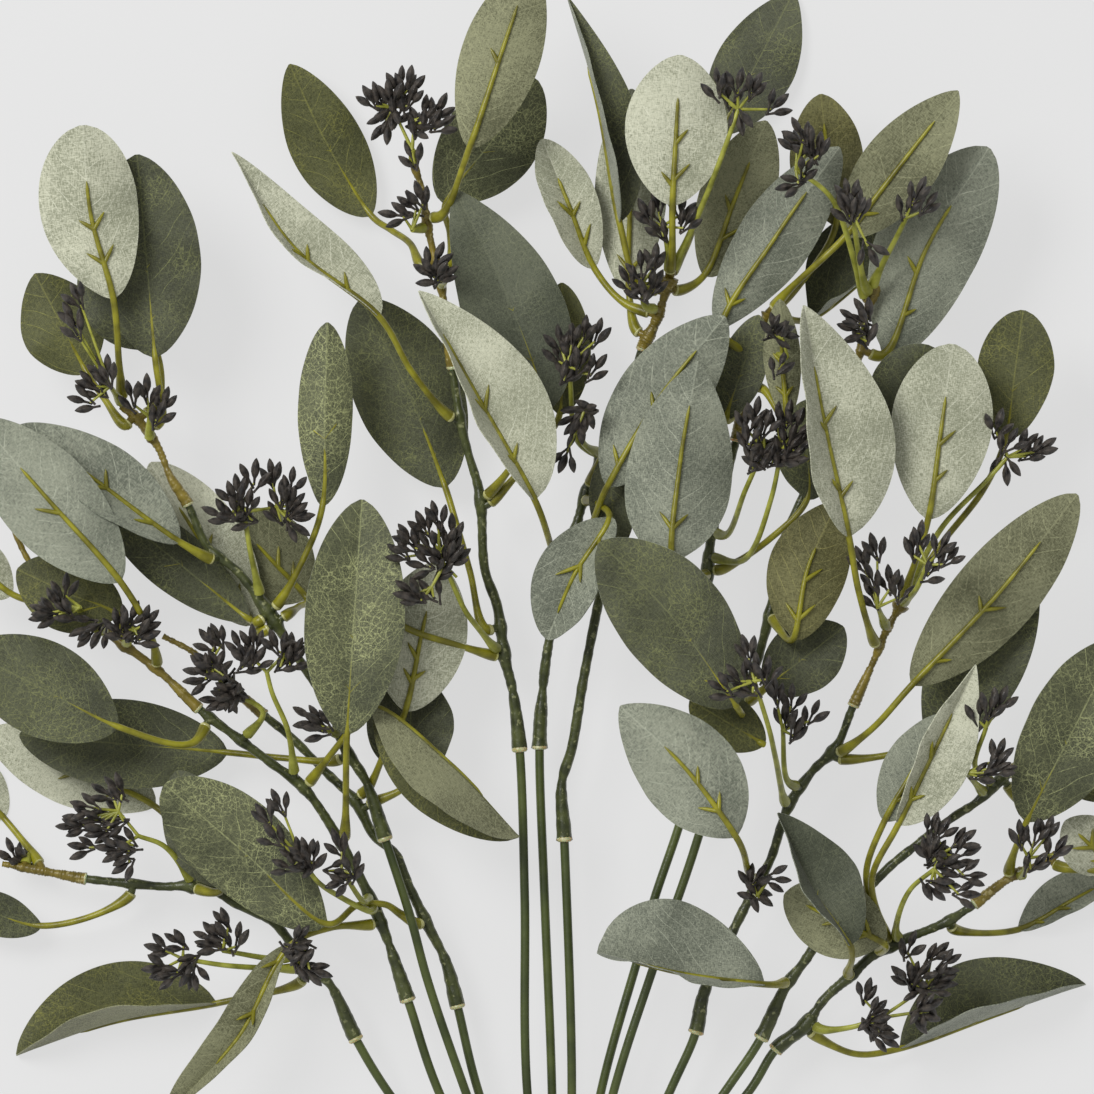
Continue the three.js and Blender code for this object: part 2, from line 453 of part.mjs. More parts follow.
// The points on the way to a leaf or head: a point with no height of its own is lifted by how far along
// the way it is.
function lifted(from, way, z, end) {
  const stops = [[from.x, from.y], ...way, end];
  const steps = stops.slice(1).map((p, i) => Math.hypot(p[0] - stops[i][0], p[1] - stops[i][1]));
  const whole = steps.reduce((a, b) => a + b, 0);
  let gone = 0;
  return way.map((p, i) => {
    gone += steps[i];
    if (p.length === 3) return p;
    return [...p, mix(from.z, z, Math.sin((Math.PI / 2) * (gone / whole)))];
  });
}

// A leaf: its petiole from the knuckle, then the blade. The blade's half width is a power of the sine of
// the way from its base to its tip.
function leafSolid(from, [, , base, tip, width, z, bow, way]) {
  const petiole = [from.toArray(), ...lifted(from, way, z, base), [...base, z - BLADE_RISE]];
  const [dx, dy] = [tip[0] - base[0], tip[1] - base[1]];
  const reach = Math.hypot(dx, dy);
  const middle = [
    mix(base[0], tip[0], 0.5) - (dy / reach) * bow, mix(base[1], tip[1], 0.5) + (dx / reach) * bow, z];
  const curve = along([...petiole, middle, [...tip, z - BLADE_RISE]]);
  const petioleShare = along(petiole).getLength() / curve.getLength();
  const petioleSteps = way.length > 1 ? 4 : 2;
  const gone = (k) => (k - petioleSteps) / BLADE_STEPS;
  const place = (k) =>
    k <= petioleSteps ? (petioleShare * k) / petioleSteps : mix(petioleShare, 1, gone(k));
  return sweep(curve, BLADE_SIDES, petioleSteps + BLADE_STEPS, place, (k) => {
    if (k <= petioleSteps) return [PETIOLE_RADIUS, PETIOLE_RADIUS, 0];
    if (k === petioleSteps + BLADE_STEPS) return BLADE_END;
    const half = (width / 2) * Math.sin(Math.PI * gone(k)) ** OUTLINE_POWER;
    return [half, BLADE_HALF_THICKNESS, half * BLADE_ARCH];
  });
}

// A head: its stalk from the knuckle, and a few of its buds as clubs from the stalk's end. The clubs'
// tips are at three heights in turn.
function headSolids(from, [, , z, way, buds]) {
  const end = way[way.length - 1];
  const stalkPoints = [from.toArray(), ...lifted(from, way.slice(0, -1), z, end), [...end, z]];
  const stations = 1 + way.length;
  const round = (radius) => [radius, radius, 0];
  const stalk = sweep(
    along(stalkPoints), THIN_SIDES, stations, (k) => k / stations, () => round(STALK_RADIUS));
  const heart = new THREE.Vector3(...end, z);
  const every = Math.ceil(buds.length / MOST_BUDS);
  const places = [0, BUD_FULLEST, 1];
  const radii = [STALK_RADIUS * NECK, BUD_RADIUS, POINT_RADIUS];
  const clubs = buds.filter((_, i) => i % every === 0).map((bud, i) => {
    const point = new THREE.Vector3(...bud, z + [-2, 0, 2][i % 3]);
    const line = new THREE.LineCurve3(heart, point);
    return sweep(line, THIN_SIDES, places.length - 1, (k) => places[k], (k) => round(radii[k]));
  });
  return [stalk, ...clubs];
}

for (const [name, joint] of Object.entries(SPRIGS)) {
  const from = knuckle(joint);
  const lump = new THREE.OctahedronGeometry(KNUCKLE_RADIUS).translate(from.x, from.y, from.z);
  const parts = [
    solid(lump),
    ...LEAVES.filter((row) => row[1] === name).map((row) => leafSolid(from, row)),
    ...HEADS.filter((row) => row[1] === name).flatMap((row) => headSolids(from, row)),
  ];
  add(`sprig_${name}`, wasm.Manifold.union(parts), colours.leaf);
}

// The tie: a band of twine turns round the straight stretch of the rods.
function tieSolid() {
  const crossings = STEMS.map(({ route }) => route[2]);
  const reach = ROD_RADIUS + TIE.margin;
  const across = crossings.map((p) => p[0]);
  const heights = crossings.map((p) => p[2]);
  const [left, right] = [Math.min(...across), Math.max(...across)];
  const [low, high] = [Math.min(...heights), Math.max(...heights)];
  const outline = (r) =>
    new THREE.Shape()
      .absarc(right, high, r, 0, Math.PI / 2)
      .absarc(left, high, r, Math.PI / 2, Math.PI)
      .absarc(left, low, r, Math.PI, 1.5 * Math.PI)
      .absarc(right, low, r, 1.5 * Math.PI, 2 * Math.PI);
  const band = outline(reach + TIE.wall);
  band.holes.push(outline(reach));
  const shape = new THREE.ExtrudeGeometry(band, { depth: TIE.length, bevelEnabled: false, curveSegments: 2 });
  shape.rotateX(Math.PI / 2);
  shape.translate(0, TIE.y + TIE.length / 2, 0);
  return solid(shape);
}
add("tie", tieSolid(), colours.twine);

// The origin is the middle of the bunch's footprint, on the table.
const box = new THREE.Box3().setFromObject(bunch, true);
bunch.position.set(-(box.min.x + box.max.x) / 2, -(box.min.y + box.max.y) / 2, -box.min.z);

const group = new THREE.Group();
group.add(bunch);

export default group;
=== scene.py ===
import math

import bpy
import numpy as np
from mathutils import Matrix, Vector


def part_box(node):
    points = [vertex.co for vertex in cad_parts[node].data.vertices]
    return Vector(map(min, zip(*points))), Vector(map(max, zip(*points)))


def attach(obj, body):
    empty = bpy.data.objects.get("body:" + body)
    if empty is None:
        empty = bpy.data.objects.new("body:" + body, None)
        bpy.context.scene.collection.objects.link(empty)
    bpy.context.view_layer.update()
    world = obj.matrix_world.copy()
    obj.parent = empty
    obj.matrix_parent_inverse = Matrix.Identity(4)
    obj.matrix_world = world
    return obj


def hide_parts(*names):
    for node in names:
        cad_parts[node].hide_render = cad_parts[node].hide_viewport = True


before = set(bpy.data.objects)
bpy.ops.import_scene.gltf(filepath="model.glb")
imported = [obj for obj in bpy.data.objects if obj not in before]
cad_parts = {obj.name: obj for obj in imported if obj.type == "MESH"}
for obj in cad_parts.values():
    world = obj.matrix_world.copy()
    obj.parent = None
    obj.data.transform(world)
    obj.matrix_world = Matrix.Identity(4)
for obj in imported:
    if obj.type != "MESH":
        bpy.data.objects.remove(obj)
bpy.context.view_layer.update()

# ---- The wire rods ---------------------------------------------------------------------------------------
# Twelve steel wires with a dark green plastic coat. They are cut straight at the lower end, run side by
# side through the tie, bend outwards, and end inside the mouths of the moulded branches.

# A route is a stem's centreline in millimetres, from the cut end to the tip of its branch; the two numbers
# before it are the points where the branch and the branch's tip piece begin.
STEMS = {
    "01": (5, 14, [
        (-1.5, -490, 4), (-1.5, -420, 4), (-1.5, -345, 4), (-1.5, -305, 4), (-65, -219, 14),
        (-77, -199, 15), (-89, -175, 16), (-98, -171, 17), (-104, -159, 18), (-111, -151, 19),
        (-127, -143, 20), (-137, -137, 19), (-155, -137, 18), (-166, -136, 17), (-186, -134, 16),
        (-203, -131, 15), (-220, -128, 14)]),
    "02": (5, 11, [
        (-1.5, -485, 8.2), (-1.5, -420, 8.2), (-1.5, -345, 8.2), (-1.5, -305, 8.2),
        (-44, -219, 18), (-56, -183, 20), (-68, -149, 21), (-82, -121, 23), (-98, -97, 25),
        (-111, -87, 27), (-127, -75, 28), (-140, -65, 30), (-156, -50, 29), (-175, -36, 28),
        (-184, -29, 27), (-196, -21, 27), (-209, -5, 26), (-216, 10, 25), (-221, 19, 24)]),
    "03": (7, 16, [
        (-1.5, -480, 12.4), (-1.5, -420, 12.4), (-1.5, -345, 12.4), (-1.5, -305, 12.4),
        (-33, -219, 22), (-48, -175, 24), (-55, -149, 26), (-65, -118, 27), (-73, -94, 29),
        (-81, -81, 31), (-87, -64, 32), (-95, -52, 34), (-103, -40, 36), (-112, -26, 37),
        (-124, -10, 38), (-136, 0, 38), (-144, 17, 39), (-151, 28, 40), (-156, 40, 40),
        (-164, 51, 41), (-170, 57, 42)]),
    "04": (5, 14, [
        (2.9, -482, 4), (2.9, -420, 4), (2.9, -345, 4), (2.9, -305, 4), (-28, -219, 14),
        (-36, -186, 15), (-41, -167, 16), (-48, -153, 17), (-56, -136, 18), (-61, -124, 19),
        (-70, -116, 20), (-77, -103, 20), (-90, -90, 19), (-103, -77, 18), (-114, -68, 18),
        (-129, -55, 17), (-142, -43, 17), (-155, -36, 16)]),
    "05": (6, 14, [
        (2.9, -483, 12.4), (2.9, -420, 12.4), (2.9, -345, 12.4), (2.9, -305, 12.4), (-8, -219, 20),
        (-9, -141, 21), (-11, -82, 22), (-14, -57, 24), (-17, -45, 25), (-20, -24, 26),
        (-25, -9, 27), (-27, 21, 28), (-32, 39, 29), (-35, 52, 31), (-38, 72, 32), (-39, 79, 34),
        (-41, 87, 35), (-42, 102, 36), (-46, 120, 38), (-48, 129, 39), (-50, 143, 41),
        (-53, 152, 42)]),
    "06": (6, None, [
        (2.9, -488, 8.2), (2.9, -420, 8.2), (2.9, -345, 8.2), (2.9, -305, 8.2), (2, -219, 16),
        (-1, -141, 18), (-3, -81, 19), (-2, -61, 20), (0, -43, 22), (6, -13, 23), (12, 9, 24),
        (16, 23, 25), (22, 37, 26)]),
    "07": (5, 13, [
        (7.3, -486, 12.4), (7.3, -420, 12.4), (7.3, -345, 12.4), (7.3, -305, 12.4), (10, -219, 22),
        (7, -118, 24), (6, -95, 25), (10, -81, 27), (14, -57, 29), (17, -41, 30), (24, -5, 32),
        (30, 31, 34), (34, 59, 36), (38, 79, 38), (43, 89, 40), (46, 97, 42), (49, 108, 44)]),
    "08": (7, 13, [
        (7.3, -485, 4), (7.3, -420, 4), (7.3, -345, 4), (7.3, -305, 4), (22, -219, 16),
        (37, -165, 17), (43, -143, 19), (54, -110, 20), (58, -93, 21), (62, -53, 23),
        (64, -21, 24), (66, 3, 26), (71, 23, 28), (76, 43, 30), (80, 64, 32), (85, 80, 34),
        (89, 94, 36)]),
    "09": (7, 14, [
        (7.3, -480, 8.2), (7.3, -420, 8.2), (7.3, -345, 8.2), (7.3, -305, 8.2), (27, -219, 22),
        (41, -175, 24), (57, -129, 26), (64, -107, 28), (77, -69, 29), (87, -37, 31),
        (92, -15, 33), (96, 5, 35), (103, 21, 36), (110, 39, 37), (118, 59, 38), (126, 79, 40),
        (128, 93, 41), (132, 105, 42)]),
    "10": (5, 13, [
        (11.7, -488, 4), (11.7, -420, 4), (11.7, -345, 4), (11.7, -305, 4), (50, -219, 16),
        (60, -196, 18), (63, -181, 19), (70, -165, 21), (84, -137, 23), (90, -126, 24),
        (97, -105, 26), (107, -90, 28), (116, -81, 31), (123, -64, 33), (132, -44, 35),
        (136, -34, 38), (142, -23, 40)]),
    "11": (5, 14, [
        (11.7, -489, 12.4), (11.7, -420, 12.4), (11.7, -345, 12.4), (11.7, -305, 12.4),
        (72, -219, 24), (86, -198, 26), (96, -177, 28), (104, -166, 31), (115, -149, 33),
        (131, -135, 35), (138, -128, 36), (148, -120, 35), (164, -108, 34), (172, -103, 33),
        (185, -91, 33), (197, -83, 32)]),
    "12": (5, 12, [
        (11.7, -483, 8.2), (11.7, -420, 8.2), (11.7, -345, 8.2), (11.7, -305, 8.2), (82, -219, 18),
        (92, -203, 19), (104, -193, 21), (112, -182, 22), (122, -173, 24), (133, -163, 25),
        (144, -158, 25), (161, -151, 24), (172, -144, 23), (187, -133, 22), (202, -126, 21),
        (212, -119, 20)]),
}
ROD_RADIUS = 1.8
SOCKET_DEPTH = 9.0
HELD = 0.6                # share of a socket or sleeve that the piece inside it fills
WIRE_RADIUS = 0.9
WIRE_OUT = 0.4            # how far the bare wire shows past its coat
WIRE_IN = 2.0
STEM_PLACES = 1200
UP = np.array([0.0, 0.0, 1.0])
SAME_PLACE = 1.0
LEAST_HEIGHT = 0.05       # of any point over the table
SHARP_EDGE = math.radians(52)
SEAM_SHARPNESS = 12

# The layout's own origin lies between the leaves, beside the tie's middle and up the bunch from it.
tie_low, tie_high = (np.array(corner) * 1000 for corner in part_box("tie"))
BESIDE_TIE, UP_FROM_TIE = 5.1, 345.0
tie_middle = (tie_low + tie_high) / 2
LAYOUT_ORIGIN = np.array([tie_middle[0] - BESIDE_TIE, tie_middle[1] + UP_FROM_TIE, tie_low[2]])


def smooth_line(points, count):
    """A curve through given points, as count evenly spaced places: between two points it is the blend of
    three straight runs that Catmull and Rom give, with knots a square root of a chord apart. A point that
    lies on the one before it is left out."""
    p = np.asarray(points, float)
    p = p[np.append(True, np.linalg.norm(np.diff(p, axis=0), axis=1) > SAME_PLACE)]
    p = np.vstack([2 * p[0] - p[1], p, 2 * p[-1] - p[-2]])
    knots = np.concatenate([[0], np.cumsum(np.sqrt(np.linalg.norm(np.diff(p, axis=0), axis=1)))])
    steps_to_a_point = 30
    t = np.linspace(knots[1], knots[-2], steps_to_a_point * len(p))
    k = np.clip(np.searchsorted(knots, t, side="right") - 1, 1, len(p) - 3)

    def blend(a, b, start, end):
        share = ((t - knots[start]) / (knots[end] - knots[start]))[:, None]
        return a * (1 - share) + b * share

    first, second, third = (blend(p[k + i], p[k + i + 1], k + i, k + i + 1) for i in (-1, 0, 1))
    line = blend(blend(first, second, k - 1, k + 1), blend(second, third, k, k + 2), k, k + 1)
    return evenly(line, count)


def evenly(line, count):
    """The same line as count places the same length apart."""
    length = lengths(line)
    even = np.linspace(0, length[-1], count)
    return np.stack([np.interp(even, length, line[:, i]) for i in range(3)], axis=1)


def lengths(line):
    """The length of the line up to each of its places."""
    return np.concatenate([[0], np.cumsum(np.linalg.norm(np.diff(line, axis=0), axis=1))])


def nearest(line, point):
    """The number of the line's place that is nearest to a point."""
    return np.linalg.norm(line - np.array(point), axis=1).argmin()


def directions(line):
    """At each place of a line: along it, sideways and level, and over it."""
    never_zero = 1e-9
    tangent = np.gradient(line, axis=0)
    tangent /= np.linalg.norm(tangent, axis=1, keepdims=True) + never_zero
    side = np.cross(tangent, UP)
    side /= np.linalg.norm(side, axis=1, keepdims=True) + never_zero
    return tangent, side, np.cross(side, tangent)


def rings_about(line, side, over, turn, reach):
    """Rings about a line: each point is the line's place plus the reach times the cosine of the turn
    sideways and the sine upwards."""
    wide, high = (np.cos(turn) * reach)[..., None], (np.sin(turn) * reach)[..., None]
    return line[:, None] + side[:, None] * wide + over[:, None] * high


def round_rings(line, radius, sides, seams=0.0):
    """Rings of a round section about a line; seams lifts a moulding seam on its left and its right by a
    high power of the cosine."""
    tangent, side, over = directions(line)
    turn = np.linspace(0, 2 * math.pi, sides, endpoint=False)
    lift = 1 + seams * np.abs(np.cos(turn)) ** SEAM_SHARPNESS
    return rings_about(line, side, over, turn, np.broadcast_to(radius, len(line))[:, None] * lift)


def shell(rings, paint=0, notes=None):
    """A closed skin over rings of points: four-sided faces between one ring and the next, and one face
    over each end. It is turned face out by the sign of the volume it holds. paint is the material of each
    face round a ring, notes the cloth note of each point."""
    n, m = rings.shape[:2]
    at = np.arange(n * m).reshape(n, m)
    near, far = at[:-1], at[1:]
    quads = np.stack([near, np.roll(near, -1, 1), np.roll(far, -1, 1), far], axis=2).reshape(-1, 4)
    points = rings.reshape(-1, 3)
    about = points - points.mean(axis=0)
    a, b, c, d = (about[quads[:, i]] for i in range(4))
    volume = np.sum(a * np.cross(b, c)) + np.sum(a * np.cross(c, d))
    for ring, sign in ((about[at[0]], -1), (about[at[-1]], 1)):
        volume += sign * (ring.mean(axis=0) @ np.cross(ring, np.roll(ring, -1, 0)).sum(axis=0))
    inside_out = volume < 0
    faces = quads[:, ::-1].tolist() if inside_out else quads.tolist()
    ends = [at[0, ::-1].tolist(), at[-1].tolist()]
    faces += [end[::-1] for end in ends] if inside_out else ends
    paint = np.broadcast_to(paint, m)
    paints = np.tile(paint, n - 1).tolist() + [int(paint[-1])] * len(ends)
    return points, faces, paints, np.zeros((len(points), 3)) if notes is None else notes.reshape(-1, 3)


def piece(name, shells, materials, slot, *nodes):
    """One object of shells in millimetres about the layout's origin, riding on the root body."""
    points = np.concatenate([s[0] for s in shells])
    points[:, 2] = np.maximum(points[:, 2], LEAST_HEIGHT)
    points += LAYOUT_ORIGIN
    starts = np.cumsum([0] + [len(s[0]) for s in shells])
    faces = [[i + start for i in face] for s, start in zip(shells, starts) for face in s[1]]
    mesh = bpy.data.meshes.new(name)
    mesh.from_pydata((points / 1000).tolist(), [], faces)
    mesh.polygons.foreach_set("material_index", [p for s in shells for p in s[2]])
    mesh.polygons.foreach_set("use_smooth", [True] * len(faces))
    mesh.attributes.new("cloth", "FLOAT_VECTOR", "POINT").data.foreach_set(
        "vector", np.concatenate([s[3] for s in shells]).astype(np.float32).ravel())
    mesh.set_sharp_from_angle(angle=SHARP_EDGE)
    for material in materials:
        mesh.materials.append(material)
    made = bpy.data.objects.new(name, mesh)
    bpy.context.scene.collection.objects.link(made)
    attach(made, "root")
    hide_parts(*nodes)


def material(name, roughness, **sockets):
    """A new material: its node tree, the shader with constants on its own sockets, and a node maker."""
    made = bpy.data.materials.new(name)
    made.use_nodes = True
    tree = made.node_tree
    shader = tree.nodes["Principled BSDF"]
    shader.inputs["Roughness"].default_value = roughness
    for socket, value in sockets.items():
        shader.inputs[socket.replace("_", " ")].default_value = value

    def node(kind, *inputs, **settings):
        """A node with its settings; each input is a socket to link, a value, or None to leave alone."""
        new = tree.nodes.new("ShaderNode" + kind)
        for key, value in settings.items():
            setattr(new, key, value)
        for socket, value in zip(new.inputs, inputs):
            if isinstance(value, bpy.types.NodeSocket):
                tree.links.new(value, socket)
            elif value is not None:
                socket.default_value = value
        return new

    return made, tree, shader, node


def colour(tone):
    """Linear colour from the usual 0 to 255 values of red, green and blue."""
    share = np.array(tone) / 255
    linear = np.where(share <= 0.04045, share / 12.92, ((share + 0.055) / 1.055) ** 2.4)
    return (*linear.tolist(), 1.0)


CLOUD_RANGE = (0.35, 0.65)
FLECK_SCALE = 420.0
FLECK_RANGE = (0.6, 0.68)
FLECK_COVER = 0.75


def plastic(name, dark, light, roughness, mottle=90.0, grain=900.0, depth=0.0002, specks=None, **sockets):
    """Moulded plastic: two tones mixed by a coarse noise, a fine noise as bump, and, where specks gives a
    colour, dry pale flecks where a third noise is highest."""
    made, tree, shader, node = material(name, roughness, Specular_IOR_Level=0.45, **sockets)
    place = node("TexCoord").outputs["Object"]
    cloud = node("TexNoise", place, None, mottle, 3.0)
    share = node("MapRange", cloud.outputs["Fac"], *CLOUD_RANGE, 0.0, 1.0)
    mixed = node("Mix", share.outputs[0], data_type="RGBA")
    mixed.inputs["A"].default_value = colour(dark)
    mixed.inputs["B"].default_value = colour(light)
    if specks:
        flecks = node("TexNoise", place, None, FLECK_SCALE, 4.0).outputs["Fac"]
        cover = node("MapRange", flecks, *FLECK_RANGE, 0.0, FLECK_COVER)
        flecked = node("Mix", cover.outputs[0], data_type="RGBA")
        tree.links.new(mixed.outputs["Result"], flecked.inputs["A"])
        flecked.inputs["B"].default_value = colour(specks)
        mixed = flecked
    tree.links.new(mixed.outputs["Result"], shader.inputs["Base Color"])
    fine = node("TexNoise", place, None, grain, 2.0)
    bump = node("Bump", 0.5, depth, None, fine.outputs["Fac"])
    tree.links.new(bump.outputs[0], shader.inputs["Normal"])
    return made


coat = plastic("rod coat", (50, 60, 24), (76, 86, 38), 0.36, 60.0)
steel = plastic("wire end", (120, 120, 118), (160, 160, 158), 0.35, Metallic=1.0)

stem_lines = {}
for stem, (socket, ring, route) in STEMS.items():
    line = smooth_line(route, STEM_PLACES)
    stem_lines[stem] = line
    mouth = nearest(line, route[socket])
    end = np.searchsorted(lengths(line), lengths(line)[mouth] + SOCKET_DEPTH * HELD)
    rod = evenly(line[:end], 140)
    wire = np.array([rod[0] - [0, WIRE_OUT, 0], rod[0] + [0, WIRE_IN, 0]])
    coated = shell(round_rings(rod, ROD_RADIUS, 14))
    bare_end = shell(round_rings(wire, WIRE_RADIUS, 10), 1)
    piece(f"rod_{stem}_coated", [coated, bare_end], [coat, steel], "rod", f"rod_{stem}")
